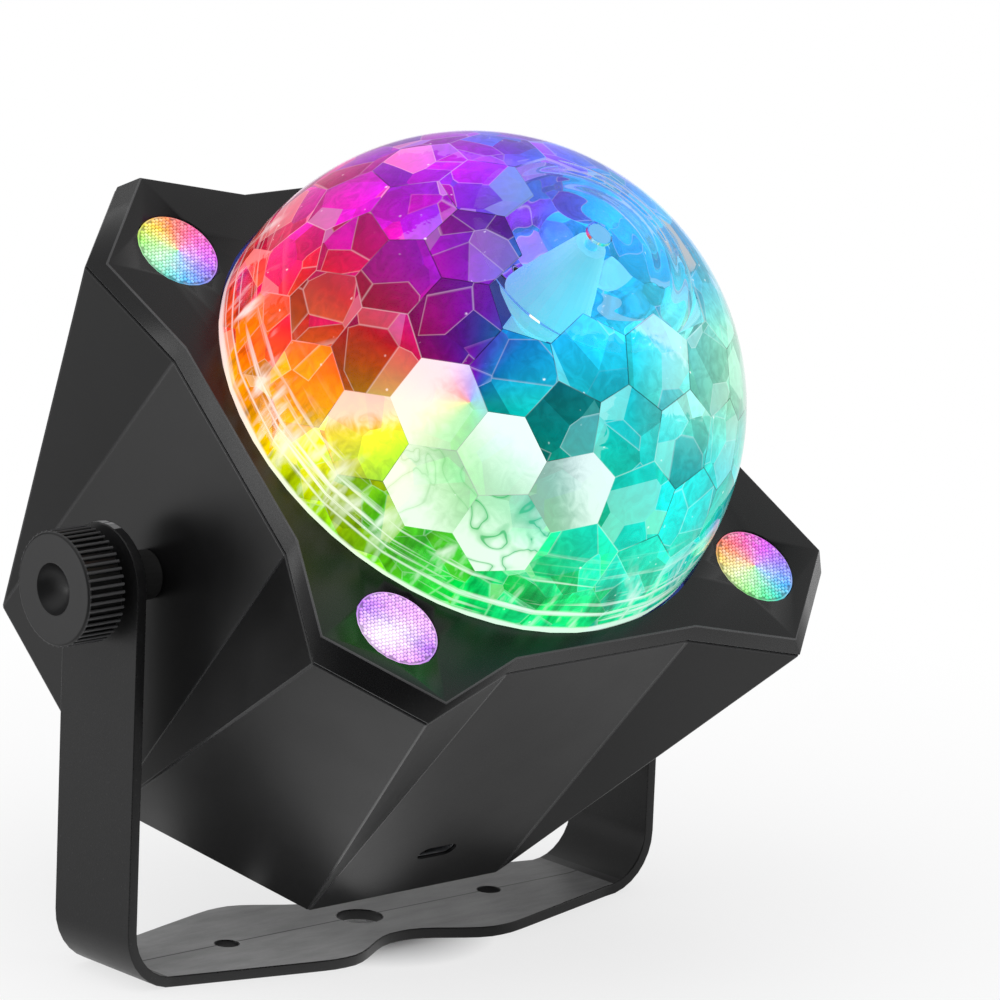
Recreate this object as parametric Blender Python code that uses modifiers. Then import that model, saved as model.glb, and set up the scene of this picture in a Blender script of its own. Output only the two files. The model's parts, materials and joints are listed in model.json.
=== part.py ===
"""LED disco ball light: a faceted head with a crystal half dome, held in a bent steel bracket by two clamp knobs.

Metres, +Z up. The floor is z = 0, under the bracket's foot plate. +X runs along the tilt axis, and the head
leans towards -Y. Lengths below that are called a depth are measured down the head's axis from its top face.
"""

import math

import bmesh
import bpy
from mathutils import Euler, Matrix, Vector

for old in list(bpy.data.objects):
    bpy.data.objects.remove(old, do_unlink=True)

# Head: outlines of the top face, of the rim's lower edge and of the base
cover_side_land = 0.0029
cover_corner_land = 0.0035
top_side_recess = 0.0069
top_recess_half_length = 0.0229
rim_height = 0.0043
rim_flare = 0.0013
rim_corner_flare = 0.0032
rim_side_recess = 0.0078
rim_recess_half_length = 0.0233
base_taper = 0.0094
base_half_edge = 0.0247
head_height = 0.0858
wall = 0.0022
floor_thickness = 0.0024
cover_thickness = 0.0026

# Tilt axis
swing_clearance = 0.0020
pivot_depth = 0.0417
rest_tilt_degrees = 41.0

# Clearances and overruns
fit_gap = 0.0003
bore_gap = 0.0003
overrun = 0.0020
merge_distance = 0.000001
turned_merge_distance = 0.00001

# Bracket
strip_width = 0.0233
strip_thickness = 0.0022
arm_clearance = 0.0010
bend_radius = 0.0100
lobe_half_width = 0.0205
lobe_place = 0.0215
lobe_run = 0.0020
lobe_ease_share = 0.06
waist_half_width = 0.0126
waist_run = 0.0012
centre_hole_radius = 0.00465
side_hole_radius = 0.00240
side_hole_place = 0.0343
arm_tip_flat_share = 0.12

# Clamp knobs, their studs, washers, spacers and nuts
knob_radius = 0.0114
knob_length = 0.0093
knob_rib_depth = 0.0006
knob_rib_count = 46
knob_rib_shares = (0.22, 0.42, 0.80)
knob_edge_round = 0.0006
knob_dimple_radius = 0.0051
knob_dimple_depth = 0.0036
knob_collar_radius = 0.0090
knob_collar_length = 0.0007
stud_radius = 0.0025
stud_grip = 0.0038
stud_reach_past_nut = 0.0010
stud_hex_across = 0.0080
stud_hex_height = 0.0020
stud_chamfer_share = 0.25
washer_radius = 0.0066
washer_thickness = 0.0016
spacer_radius = 0.0049
nut_across = 0.0080
nut_height = 0.0040
nut_boss_radius = 0.0068
nut_boss_wall = 0.0008

# Crystal dome
dome_radius = 0.0536
dome_centre_rise = 0.0010
dome_wall = 0.0042
dome_skirt_depth = 0.0060
dome_opening_gap = 0.0006
dome_skirt_wall = 0.0031
facet_levels = 3
facet_turn_degrees = (24.1, 37.7, -84.3)
dome_segments = 56
dome_rings = 12

# Dome drive
shaft_radius = 0.0015
shaft_grip = 0.0140
shaft_in_motor = 0.0090
hub_tube_radius = 0.0042
hub_cone_radius = 0.0090
hub_cone_depth = -0.0330
hub_tip_radius = 0.0032
hub_bottom_depth = 0.0070
hub_lip = 0.0012
hub_flare = 0.0060
pole_screw_radius = 0.0011
pole_screw_length = 0.0100
pole_screw_head_radius = 0.0024
pole_screw_head_height = 0.0010
pole_seat_radius = 0.0027
pole_seat_depth = 0.0012

# Corner lenses
lens_land = 0.0022
lens_radius = 0.0085
lens_thickness = 0.0018
lens_crown = 0.0004
lens_ledge = 0.0012
lens_seat_depth = 0.0021
lens_ledge_depth = 0.0036
lens_tube_radius = 0.0103
lens_tube_depth = 0.0107
module_thickness = 0.0012
emitter_radius = 0.0026
emitter_height = 0.0016
emitter_crown_share = 0.125

# Tray, lamp board and motor
tray_thickness = 0.0020
tray_hole_radius = 0.0050
tray_screw_past_lens = 0.0050
tray_screw_beside_lens = 0.0139
tray_screw_boss_radius = 0.0030
screw_radius = 0.0013
screw_head_radius = 0.0026
screw_head_height = 0.0016
screw_bite = 0.0065
screw_recess_share = 0.75
screw_point_share = 0.50
screw_tip_share = 2 / 3
screw_head_edge_share = 1 / 3
board_thickness = 0.0016
lamp_board_radius = 0.0320
lamp_board_hole_radius = 0.0075
led_ring_radius = 0.0190
led_radius = 0.0030
led_height = 0.0012
led_lens_radius = 0.0022
led_count = 6
motor_radius = 0.0120
motor_length = 0.0177
motor_cap_radius = 0.0080
motor_cap_length = 0.0050
motor_neck_radius = 0.0040
motor_neck_depth = 0.0093
motor_ear_place = 0.0170
motor_ear_half_width = 0.0040
motor_ear_thickness = 0.0016

# Case posts and screws
case_post_place = 0.0300
case_post_radius = 0.0044
case_boss_length = 0.0037
case_ledge_length = 0.0070
case_screw_head_radius = 0.0028
case_screw_head_height = 0.0020
case_bore_roof = 0.0010

# Control board and what is on it
socket_rise = 0.0143
socket_width = 0.00894
socket_height = 0.00320
socket_length = 0.0073
socket_shell = 0.00032
socket_recess = 0.0006
socket_tongue_width = 0.0066
socket_tongue_thickness = 0.0007
socket_mouth_depth = 0.0062
control_board_half_width = 0.0220
control_board_back = 0.0090
control_board_edge_gap = 0.0010
board_post_radius = 0.0030
board_post_place = (0.0170, 0.0035)
board_screw_radius = 0.0011
board_screw_head_radius = 0.0022
chip_size = (0.0100, 0.0062, 0.0016)
chip_place = (0.0000, 0.0270)
capacitor_radius = 0.0040
capacitor_height = 0.0080
capacitor_place = (-0.0130, 0.0200)
microphone_radius = 0.0030
microphone_height = 0.0045
microphone_place = (0.0150, 0.0100)
receiver_size = (0.0056, 0.0046, 0.0070)
receiver_place = (-0.0150, 0.0070)
header_size = (0.0300, 0.0050, 0.0060)
header_place = (0.0000, -0.0060)
lead_radius = 0.0009
lead_hole_gap = 0.0006
corner_lead_spacing = 0.0050
corner_lead_slots = (2.5, -2.5, -1.5, 1.5)
lead_upper_bend_shares = (0.98, 0.93)
lead_middle_shares = (0.93, 0.52)
lead_lower_bend_shares = (1 / 3, 1 / 4)
lamp_lead_place = 0.0130

# How finely round pieces are cut into flats
large_segments = 48
medium_segments = 24
small_segments = 12
foot_steps = 44
bend_steps = 8
tip_steps = 8
dimple_steps = 6
led_lens_steps = 4
slot_end_steps = 6
lead_steps = 4
sharp_degrees = 30
lead_sides_resolution = 1

# Places worked out from the sizes above
dome_opening_radius = dome_radius + dome_opening_gap
top_half_width = dome_opening_radius + cover_side_land + top_side_recess
rim_half_width = top_half_width + rim_flare
corner_distance = dome_opening_radius + lens_land + 2 * lens_radius + cover_corner_land
top_corner_cut = 2 * top_half_width - math.sqrt(2) * corner_distance
rim_corner_cut = 2 * rim_half_width - math.sqrt(2) * (corner_distance + rim_corner_flare)
base_half_width = rim_half_width - base_taper
lens_place = (dome_opening_radius + lens_land + lens_radius) / math.sqrt(2)
tray_screw_place = (lens_place + tray_screw_past_lens, lens_place - tray_screw_beside_lens)
swing_radius = max(
    math.hypot(top_half_width, pivot_depth),
    math.hypot(rim_half_width, pivot_depth - rim_height),
    math.hypot(base_half_width, head_height - pivot_depth),
)
pivot_height = strip_thickness + swing_clearance + swing_radius
socket_depth = head_height - socket_rise
arm_inner = rim_half_width + arm_clearance
arm_outer = arm_inner + strip_thickness
foot_half_length = arm_inner - bend_radius
knob_root_radius = knob_radius - knob_rib_depth
hex_corner_share = 2 / math.sqrt(3)
head_section_slope = (rim_half_width - rim_side_recess - base_half_width) / (head_height - rim_height)
panel_at_pivot = rim_half_width - rim_side_recess - head_section_slope * (pivot_depth - rim_height)
rest_tilt = math.radians(rest_tilt_degrees)
dome_centre = pivot_depth + dome_centre_rise
front_reach = dome_centre * math.sin(rest_tilt) + dome_radius
back_reach = base_half_width * math.cos(rest_tilt) + (head_height - pivot_depth) * math.sin(rest_tilt)
stand_y = (front_reach - back_reach) / 2
tray_top = lens_tube_depth + fit_gap
tray_bottom = tray_top + tray_thickness
case_boss_bottom = tray_bottom + case_boss_length
lamp_board_bottom = tray_top - fit_gap
lamp_board_top = lamp_board_bottom - board_thickness
floor_top = head_height - floor_thickness
board_top = socket_depth + socket_height / 2 + fit_gap
board_bottom = board_top + board_thickness
facet_distance = dome_radius - dome_wall
washer_start = arm_outer + fit_gap
knob_start = washer_start + washer_thickness + fit_gap

light_name = "led_disco_ball_light"
parts = bpy.data.collections.new(light_name)
cutters = bpy.data.collections.new("cutters")
cutters.hide_render = True
for collection in (parts, cutters):
    bpy.context.scene.collection.children.link(collection)


def finish(name, colour, roughness, metallic=0.0, alpha=1.0):
    """A material with one Principled shader."""
    made = bpy.data.materials.new(name)
    made.use_nodes = True
    shader = made.node_tree.nodes["Principled BSDF"]
    shader.inputs["Base Color"].default_value = (*colour, 1.0)
    shader.inputs["Roughness"].default_value = roughness
    shader.inputs["Metallic"].default_value = metallic
    shader.inputs["Alpha"].default_value = alpha
    return made


black_plastic = finish("black_plastic", (0.022, 0.022, 0.024), 0.42)
black_paint = finish("black_paint", (0.030, 0.030, 0.032), 0.50, 0.3)
knob_plastic = finish("knob_plastic", (0.020, 0.020, 0.021), 0.38)
steel = finish("steel", (0.55, 0.56, 0.58), 0.30, 1.0)
brass = finish("brass", (0.70, 0.52, 0.22), 0.32, 1.0)
rubber = finish("rubber", (0.025, 0.025, 0.026), 0.85)
crystal = finish("crystal", (0.86, 0.93, 1.00), 0.04, 0.0, 0.35)
lens_plastic = finish("lens_plastic", (0.88, 0.84, 0.95), 0.15, 0.0, 0.6)
white_plastic = finish("white_plastic", (0.85, 0.86, 0.88), 0.35)
grey_plastic = finish("grey_plastic", (0.12, 0.12, 0.13), 0.50)
green_board = finish("green_board", (0.03, 0.22, 0.10), 0.45)
white_board = finish("white_board", (0.82, 0.83, 0.84), 0.40)
led_yellow = finish("led_yellow", (0.95, 0.80, 0.35), 0.25)
lead_sheath = finish("lead_sheath", (0.55, 0.05, 0.04), 0.55)


def empty(name, parent=None, location=(0, 0, 0), rotation=(0, 0, 0)):
    made = bpy.data.objects.new(name, None)
    made.parent = parent
    made.location = location
    made.rotation_euler = rotation
    parts.objects.link(made)
    return made


stand = empty("stand_centre", location=(0, stand_y, 0))
tilt_axis = empty("tilt_axis", stand, (0, 0, pivot_height), (rest_tilt, 0, 0))
head_top = empty("head_top_centre", tilt_axis, (0, 0, pivot_depth))
spin_axis = empty("spin_axis", head_top)
side_names = {-1: "left", 1: "right"}
corner_words = ("back_right", "back_left", "front_left", "front_right")
# Each clamp axis looks outwards, so that a length along it is a distance from the light's middle plane.
clamp_axes = {
    side: empty(f"{word}_clamp_axis", stand, (0, 0, pivot_height), (0, side * math.pi / 2, 0))
    for side, word in side_names.items()
}
head_clamp_axes = {
    side: empty(f"{word}_head_clamp_axis", tilt_axis, (0, 0, 0), (0, side * math.pi / 2, 0))
    for side, word in side_names.items()
}


def place(mesh, name, look, parent, location=(0, 0, 0), rotation=(0, 0, 0)):
    """Makes an object of a mesh. Without a look it is a cutter."""
    made = bpy.data.objects.new(name, mesh)
    made.parent = parent
    made.location = location
    made.rotation_euler = rotation
    if look is None:
        made.hide_render = True
        made.display_type = "WIRE"
        cutters.objects.link(made)
    else:
        mesh.materials.clear()
        mesh.materials.append(look)
        parts.objects.link(made)
    return made


def mesh_of(bm, name):
    """Turns a bmesh into a mesh whose faces point out."""
    bmesh.ops.recalc_face_normals(bm, faces=bm.faces)
    mesh = bpy.data.meshes.new(name)
    bm.to_mesh(mesh)
    bm.free()
    mesh.shade_smooth()
    mesh.set_sharp_from_angle(angle=math.radians(sharp_degrees))
    return mesh


def cylinder(name, look, parent, radius, low, high, centre=(0, 0), sides=medium_segments, turn=0.0):
    """A round bar along the parent's Z, from low to high. With few sides it is a hexagon or the like."""
    bm = bmesh.new()
    move = Matrix.Translation((centre[0], centre[1], (low + high) / 2)) @ Matrix.Rotation(turn, 4, "Z")
    bmesh.ops.create_cone(
        bm, cap_ends=True, segments=sides, radius1=radius, radius2=radius, depth=high - low, matrix=move
    )
    return place(mesh_of(bm, name), name, look, parent)


def block(name, look, parent, size, centre):
    bm = bmesh.new()
    stretch = Matrix.Translation(centre) @ Matrix.Diagonal((*size, 1))
    bmesh.ops.create_cube(bm, size=1, matrix=stretch)
    return place(mesh_of(bm, name), name, look, parent)


def turned(name, look, parent, profile, segments=medium_segments, centre=(0, 0)):
    """A profile of (radius, height) pairs, top to bottom, turned about the parent's Z."""
    mesh = bpy.data.meshes.new(name)
    corners = [(radius, 0, height) for radius, height in profile]
    mesh.from_pydata(corners, [(i, i + 1) for i in range(len(corners) - 1)], [])
    made = place(mesh, name, look, parent, (centre[0], centre[1], 0))
    screw = made.modifiers.new("turn", "SCREW")
    screw.steps = screw.render_steps = segments
    screw.use_merge_vertices = True
    screw.merge_threshold = turned_merge_distance
    screw.use_smooth_shade = True
    return made


def loft(name, look, parent, rings):
    """A solid through rings of as many points each, from the lowest to the highest."""
    bm = bmesh.new()
    rows = [[bm.verts.new(point) for point in ring] for ring in rings]
    count = len(rows[0])
    for lower, upper in zip(rows, rows[1:]):
        for i in range(count):
            j = (i + 1) % count
            bm.faces.new((lower[i], lower[j], upper[j], upper[i]))
    bm.faces.new(rows[0][::-1])
    bm.faces.new(rows[-1])
    bmesh.ops.remove_doubles(bm, verts=bm.verts, dist=merge_distance)
    bmesh.ops.dissolve_degenerate(bm, dist=merge_distance, edges=bm.edges)
    return place(mesh_of(bm, name), name, look, parent)


def plate(name, look, parent, outline, low, high, along="Z"):
    """A flat outline given thickness from low to high, along the parent's Z or Y."""
    curve = bpy.data.curves.new(name, "CURVE")
    curve.dimensions = "2D"
    curve.fill_mode = "BOTH"
    curve.extrude = (high - low) / 2
    spline = curve.splines.new("POLY")
    spline.points.add(len(outline) - 1)
    for point, (x, y) in zip(spline.points, outline):
        point.co = (x, y, 0, 1)
    spline.use_cyclic_u = True
    drawn = bpy.data.objects.new(name + "_outline", curve)
    cutters.objects.link(drawn)
    bpy.context.view_layer.update()
    mesh = bpy.data.meshes.new_from_object(drawn.evaluated_get(bpy.context.evaluated_depsgraph_get()))
    bpy.data.objects.remove(drawn)
    bm = bmesh.new()
    bm.from_mesh(mesh)
    bmesh.ops.remove_doubles(bm, verts=bm.verts, dist=merge_distance)
    bmesh.ops.translate(bm, verts=bm.verts, vec=(0, 0, (low + high) / 2))
    if along == "Y":
        bmesh.ops.rotate(bm, verts=bm.verts, cent=(0, 0, 0), matrix=Matrix.Rotation(math.pi / 2, 3, "X"))
    return place(mesh_of(bm, name), name, look, parent)


def combine(target, other, operation):
    step = target.modifiers.new(f"{operation.lower()} {other.name}", "BOOLEAN")
    step.operation = operation
    step.object = other
    step.solver = "EXACT"


def cut(target, *tools):
    for tool in tools:
        combine(target, tool, "DIFFERENCE")


def join(target, *additions):
    for addition in additions:
        combine(target, addition, "UNION")


def arc(centre, radius, start, end, steps):
    """Points along a circle, from one angle to the other, both ends kept."""
    return [
        (
            centre[0] + radius * math.cos(start + (end - start) * i / steps),
            centre[1] + radius * math.sin(start + (end - start) * i / steps),
        )
        for i in range(steps + 1)
    ]


def slot_outline(width, height):
    """A lying slot with round ends, centred on nothing."""
    end = height / 2
    middle = width / 2 - end
    right = arc((middle, 0), end, -math.pi / 2, math.pi / 2, slot_end_steps)
    left = arc((-middle, 0), end, math.pi / 2, 3 * math.pi / 2, slot_end_steps)
    return right + left


def four_sides(side):
    """Repeats the points of one side at each quarter turn."""
    return [
        (
            x * round(math.cos(quarter * math.pi / 2)) - y * round(math.sin(quarter * math.pi / 2)),
            x * round(math.sin(quarter * math.pi / 2)) + y * round(math.cos(quarter * math.pi / 2)),
        )
        for quarter in range(4)
        for x, y in side
    ]


def star_outline(half_width, corner_cut, recess, recess_half_length):
    """The head's outline: cut corners, and sides whose middle run stands back."""
    corner = half_width - corner_cut
    middle = half_width - recess
    return four_sides([
        (half_width, -corner),
        (middle, -recess_half_length),
        (middle, recess_half_length),
        (half_width, corner),
    ])


def inset(outline, distance):
    """The outline moved inwards by a distance, corner by corner. It runs anticlockwise."""
    moved = []
    for i, here in enumerate(outline):
        before, here, after = Vector(outline[i - 1]), Vector(here), Vector(outline[(i + 1) % len(outline)])
        first, second = (here - before).normalized(), (after - here).normalized()
        inward_first, inward_second = Vector((-first.y, first.x)), Vector((-second.y, second.x))
        bisector = (inward_first + inward_second).normalized()
        moved.append(tuple(here + bisector * distance / bisector.dot(inward_first)))
    return moved


top_outline = star_outline(top_half_width, top_corner_cut, top_side_recess, top_recess_half_length)
rim_outline = star_outline(rim_half_width, rim_corner_cut, rim_side_recess, rim_recess_half_length)
base_octagon = four_sides([(base_half_width, -base_half_edge), (base_half_width, base_half_edge)])


def doubled(octagon):
    """An eight-point outline with each point twice, to loft against one of sixteen."""
    return [point for point in octagon for _ in range(2)]


def between(first, second, share):
    return [
        (x0 + (x1 - x0) * share, y0 + (y1 - y0) * share) for (x0, y0), (x1, y1) in zip(first, second)
    ]


def casing_section(depth):
    """The housing's outer outline at a depth."""
    share = (depth - rim_height) / (head_height - rim_height)
    return between(rim_outline, doubled(base_octagon), share)


def ring(outline, depth):
    return [(x, y, -depth) for x, y in outline]


def corners(x, y):
    """A place and its three copies at quarter turns, corner by corner."""
    return four_sides([(x, y)])


def screw_up(name, look, parent, place_xy, head_depth, reach, radius, head_radius, head_height):
    """A pan head screw that points up the head's axis, its head's flat seat at head_depth."""
    profile = [
        (0, -head_depth + reach),
        (radius * screw_tip_share, -head_depth + reach),
        (radius, -head_depth + reach - radius * screw_point_share),
        (radius, -head_depth),
        (head_radius, -head_depth),
        (head_radius, -head_depth - head_height / 2),
        (head_radius * screw_recess_share, -head_depth - head_height),
        (radius * screw_recess_share, -head_depth - head_height),
        (0, -head_depth - head_height / 2),
    ]
    return turned(name, look, parent, profile, small_segments, place_xy)


def bracket_half_width(x):
    """Half the strip's width over the foot plate, at a distance from its middle."""
    x = abs(x)
    waist_end = lobe_place - lobe_run
    if x <= waist_run:
        return waist_half_width
    if x <= waist_end:
        share = (x - waist_run) / (waist_end - waist_run)
        smooth = share * share * (3 - 2 * share)
        return waist_half_width + (lobe_half_width - waist_half_width) * smooth
    if x <= lobe_place:
        return lobe_half_width
    share = (x - lobe_place) / (foot_half_length - lobe_place)
    eased = math.sqrt(share * share + lobe_ease_share**2) - lobe_ease_share
    full = math.sqrt(1 + lobe_ease_share**2) - lobe_ease_share
    return lobe_half_width + (strip_width / 2 - lobe_half_width) * eased / full


def make_bracket():
    """One strip along its outer face, bent up at both ends, then given its thickness inwards."""
    outer_bend = bend_radius + strip_thickness
    places = [foot_half_length * (2 * i / foot_steps - 1) for i in range(foot_steps + 1)]
    middle = [(x, 0.0, bracket_half_width(x)) for x in places]
    bend = arc((foot_half_length, outer_bend), outer_bend, -math.pi / 2, 0, bend_steps)[1:]
    tip_radius = strip_width / 2
    widest = math.acos(arm_tip_flat_share)
    tip = [
        (arm_outer, pivot_height + tip_radius * math.sin(widest * i / tip_steps),
         tip_radius * math.cos(widest * i / tip_steps))
        for i in range(tip_steps + 1)
    ]
    right = [(x, z, strip_width / 2) for x, z in bend] + tip
    left = [(-x, z, half) for x, z, half in reversed(right)]
    bm = bmesh.new()
    rows = [
        (bm.verts.new((x, -half, z)), bm.verts.new((x, half, z))) for x, z, half in left + middle + right
    ]
    for (a, b), (c, d) in zip(rows, rows[1:]):
        bm.faces.new((a, b, d, c))
    mesh = bpy.data.meshes.new("bracket")
    bm.to_mesh(mesh)
    bm.free()
    made = place(mesh, "bracket", black_paint, stand)
    thicken = made.modifiers.new("strip thickness", "SOLIDIFY")
    thicken.thickness = strip_thickness
    thicken.offset = -1
    thicken.use_even_offset = True
    floor = -overrun
    roof = strip_thickness + overrun
    cut(made, cylinder("centre_hole", None, stand, centre_hole_radius, floor, roof, (0, 0), large_segments))
    for side, word in side_names.items():
        place_xy = (side * side_hole_place, 0)
        cut(made, cylinder(f"{word}_foot_hole", None, stand, side_hole_radius, floor, roof, place_xy))
        bore = stud_radius + bore_gap
        low, high = arm_inner - overrun, arm_outer + overrun
        cut(made, cylinder(f"{word}_arm_hole", None, clamp_axes[side], bore, low, high))
    return made


def knurl_ring(height, widest):
    """The knob's ribs at a height, none wider than asked: each has a flat crest and a flat root."""
    ribs = []
    root_end, crest_start, crest_end = knob_rib_shares
    turns = ((0, knob_root_radius), (root_end, knob_root_radius), (crest_start, knob_radius), (crest_end, knob_radius))
    for rib in range(knob_rib_count):
        for share, radius in turns:
            angle = 2 * math.pi * (rib + share) / knob_rib_count
            reach = min(radius, widest)
            ribs.append((reach * math.cos(angle), reach * math.sin(angle), height))
    return ribs


def make_clamp(side):
    """Knob, stud and washer outside the arm, spacer and nut on the head's side."""
    word = side_names[side]
    axis = clamp_axes[side]
    inner_end = knob_start + knob_collar_length
    outer_end = knob_start + knob_length
    knob = loft(f"{word}_knob", knob_plastic, axis, [
        knurl_ring(inner_end, knob_radius),
        knurl_ring(outer_end - knob_edge_round, knob_radius),
        knurl_ring(outer_end, knob_radius - knob_edge_round),
    ])
    dimple_ball = (knob_dimple_radius**2 + knob_dimple_depth**2) / (2 * knob_dimple_depth)
    ball_height = outer_end - knob_dimple_depth + dimple_ball
    dimple = turned(
        f"{word}_dimple", None, axis,
        [(0, ball_height)] + arc((0, ball_height), dimple_ball, 0, -math.pi / 2, dimple_steps),
    )
    collar = cylinder(f"{word}_collar", None, axis, knob_collar_radius, knob_start, inner_end + fit_gap)
    stud_end = knob_start + stud_grip
    hex_start = stud_end - stud_hex_height
    stud_bore = cylinder(
        f"{word}_knob_bore", None, axis, stud_radius + fit_gap, knob_start - overrun, stud_end
    )
    hex_radius = stud_hex_across / 2 * hex_corner_share
    hex_pocket = cylinder(
        f"{word}_hex_pocket", None, axis, hex_radius + fit_gap, knob_start - overrun, stud_end + fit_gap,
        sides=6,
    )
    join(knob, collar)
    cut(knob, dimple, stud_bore, hex_pocket)

    tip = panel_at_pivot - wall - nut_boss_wall - nut_height - stud_reach_past_nut
    stud = turned(f"{word}_stud", steel, axis, [
        (0, stud_end),
        (stud_radius, stud_end),
        (stud_radius, tip + stud_radius * stud_chamfer_share),
        (stud_radius - stud_radius * stud_chamfer_share, tip),
        (0, tip),
    ], small_segments)
    stud_hex = cylinder(f"{word}_stud_hex", None, axis, hex_radius, hex_start, stud_end - fit_gap, sides=6)
    join(stud, stud_hex)

    washer = turned(f"{word}_washer", steel, axis, [
        (stud_radius + bore_gap, washer_start + washer_thickness),
        (washer_radius, washer_start + washer_thickness),
        (washer_radius, washer_start),
        (stud_radius + bore_gap, washer_start),
        (stud_radius + bore_gap, washer_start + washer_thickness),
    ])

    head_axis = head_clamp_axes[side]
    spacer_start = panel_at_pivot + fit_gap + abs(head_section_slope) * spacer_radius
    spacer = turned(f"{word}_spacer", rubber, head_axis, [
        (stud_radius + bore_gap, arm_inner - fit_gap),
        (spacer_radius, arm_inner - fit_gap),
        (spacer_radius, spacer_start),
        (stud_radius + bore_gap, spacer_start),
        (stud_radius + bore_gap, arm_inner - fit_gap),
    ])

    nut_top = panel_at_pivot - wall - nut_boss_wall
    nut_radius = nut_across / 2 * hex_corner_share
    nut = cylinder(f"{word}_nut", brass, head_axis, nut_radius, nut_top - nut_height, nut_top, sides=6)
    cut(nut, cylinder(
        f"{word}_nut_bore", None, head_axis, stud_radius + bore_gap, nut_top - nut_height - overrun,
        nut_top + overrun, sides=small_segments,
    ))
    return knob, stud, washer, spacer, nut


def make_housing():
    """The lower casing: a lofted shell with screw posts, nut bosses and the socket's slot."""
    open_depth = rim_height + fit_gap
    housing = loft("housing", black_plastic, head_top, [
        ring(casing_section(head_height), head_height),
        ring(casing_section(open_depth), open_depth),
    ])
    inner_rim = inset(rim_outline, wall)
    inner_base = doubled(inset(base_octagon, wall))
    cavity = loft("housing_cavity", None, head_top, [
        ring(inner_base, floor_top),
        ring(inner_rim, rim_height),
        ring(inner_rim, rim_height - overrun),
    ])
    cut(housing, cavity)

    post_top = case_boss_bottom + fit_gap
    ledge_bottom = post_top + case_ledge_length
    below = head_height - floor_thickness / 2
    for number, spot in enumerate(corners(case_post_place, case_post_place), 1):
        join(housing, cylinder(
            f"case_post_{number}", None, head_top, case_post_radius, -below, -post_top, spot, small_segments
        ))
        cut(housing, cylinder(
            f"case_counterbore_{number}", None, head_top, case_screw_head_radius + fit_gap,
            -head_height - overrun, -ledge_bottom, spot, small_segments,
        ), cylinder(
            f"case_through_{number}", None, head_top, screw_radius + bore_gap,
            -head_height - overrun, -post_top + overrun, spot, small_segments,
        ))
    for number, spot in enumerate(board_post_spots(), 1):
        join(housing, cylinder(
            f"board_post_{number}", None, head_top, board_post_radius, -below, -board_bottom - fit_gap, spot,
            small_segments,
        ))
        if number <= 2:
            cut(housing, cylinder(
                f"board_post_bore_{number}", None, head_top, board_screw_radius + bore_gap,
                -floor_top + fit_gap, -board_bottom + overrun, spot, small_segments,
            ))
    for side, word in side_names.items():
        axis = head_clamp_axes[side]
        boss_low = panel_at_pivot - wall - nut_boss_wall - nut_height
        join(housing, cylinder(
            f"{word}_nut_boss", None, axis, nut_boss_radius, boss_low, panel_at_pivot - wall / 2
        ))
        pocket_radius = nut_across / 2 * hex_corner_share + fit_gap
        cut(housing, cylinder(
            f"{word}_nut_pocket", None, axis, pocket_radius, boss_low - overrun,
            panel_at_pivot - wall - nut_boss_wall + fit_gap, sides=6,
        ), cylinder(
            f"{word}_housing_hole", None, axis, stud_radius + bore_gap, boss_low - overrun,
            panel_at_pivot + overrun,
        ))
    slot = slot_outline(socket_width + 2 * fit_gap, socket_height + 2 * fit_gap)
    slot_cutter = plate(
        "socket_slot", None, head_top, slot, front_panel_at(socket_depth) - wall - overrun,
        front_panel_at(socket_depth) + overrun, along="Y",
    )
    slot_cutter.location = (0, 0, -socket_depth)
    cut(housing, slot_cutter)
    return housing


def front_panel_at(depth):
    """How far the front panel stands from the head's axis at a depth."""
    return rim_half_width - rim_side_recess - head_section_slope * (depth - rim_height)


def board_post_spots():
    """Two posts take screws at the board's back, and two only carry it near the socket."""
    x, back_y = board_post_place
    front_y = -(front_panel_at(board_top) - wall) + x / 2
    return [(x, back_y), (-x, back_y), (x, front_y), (-x, front_y)]


def make_cover():
    """The flat top with its slanted rim, dome opening, lens seats and screw bosses."""
    cover = loft("top_cover", black_plastic, head_top, [
        ring(rim_outline, rim_height),
        ring(top_outline, 0),
    ])
    share = cover_thickness / rim_height
    below_plate = inset(between(top_outline, rim_outline, share), wall)
    hollow = loft("cover_hollow", None, head_top, [
        ring(inset(rim_outline, wall), rim_height + overrun),
        ring(inset(rim_outline, wall), rim_height),
        ring(below_plate, cover_thickness),
    ])
    cut(cover, hollow)
    inside_plate = cover_thickness / 2
    for number, spot in enumerate(corners(lens_place, lens_place), 1):
        join(cover, cylinder(
            f"lens_tube_{number}", None, head_top, lens_tube_radius, -lens_tube_depth, -inside_plate, spot
        ))
    for number, spot in enumerate(corners(*tray_screw_place), 1):
        join(cover, cylinder(
            f"tray_boss_{number}", None, head_top, tray_screw_boss_radius, -lens_tube_depth, -inside_plate,
            spot, small_segments,
        ))
        cut(cover, cylinder(
            f"tray_boss_bore_{number}", None, head_top, screw_radius + bore_gap,
            -lens_tube_depth - overrun, -cover_thickness, spot, small_segments,
        ))
    for number, spot in enumerate(corners(lens_place, lens_place), 1):
        cut(cover, cylinder(
            f"lens_pocket_{number}", None, head_top, lens_radius + fit_gap, -lens_seat_depth, overrun, spot
        ), cylinder(
            f"lens_window_{number}", None, head_top, lens_radius - lens_ledge, -lens_tube_depth, overrun, spot
        ), cylinder(
            f"lens_well_{number}", None, head_top, lens_radius, -lens_tube_depth - overrun,
            -lens_ledge_depth, spot,
        ))
    cut(cover, cylinder(
        "dome_opening", None, head_top, dome_opening_radius, -lens_tube_depth - overrun, overrun,
        sides=dome_segments,
    ))
    return cover


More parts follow.
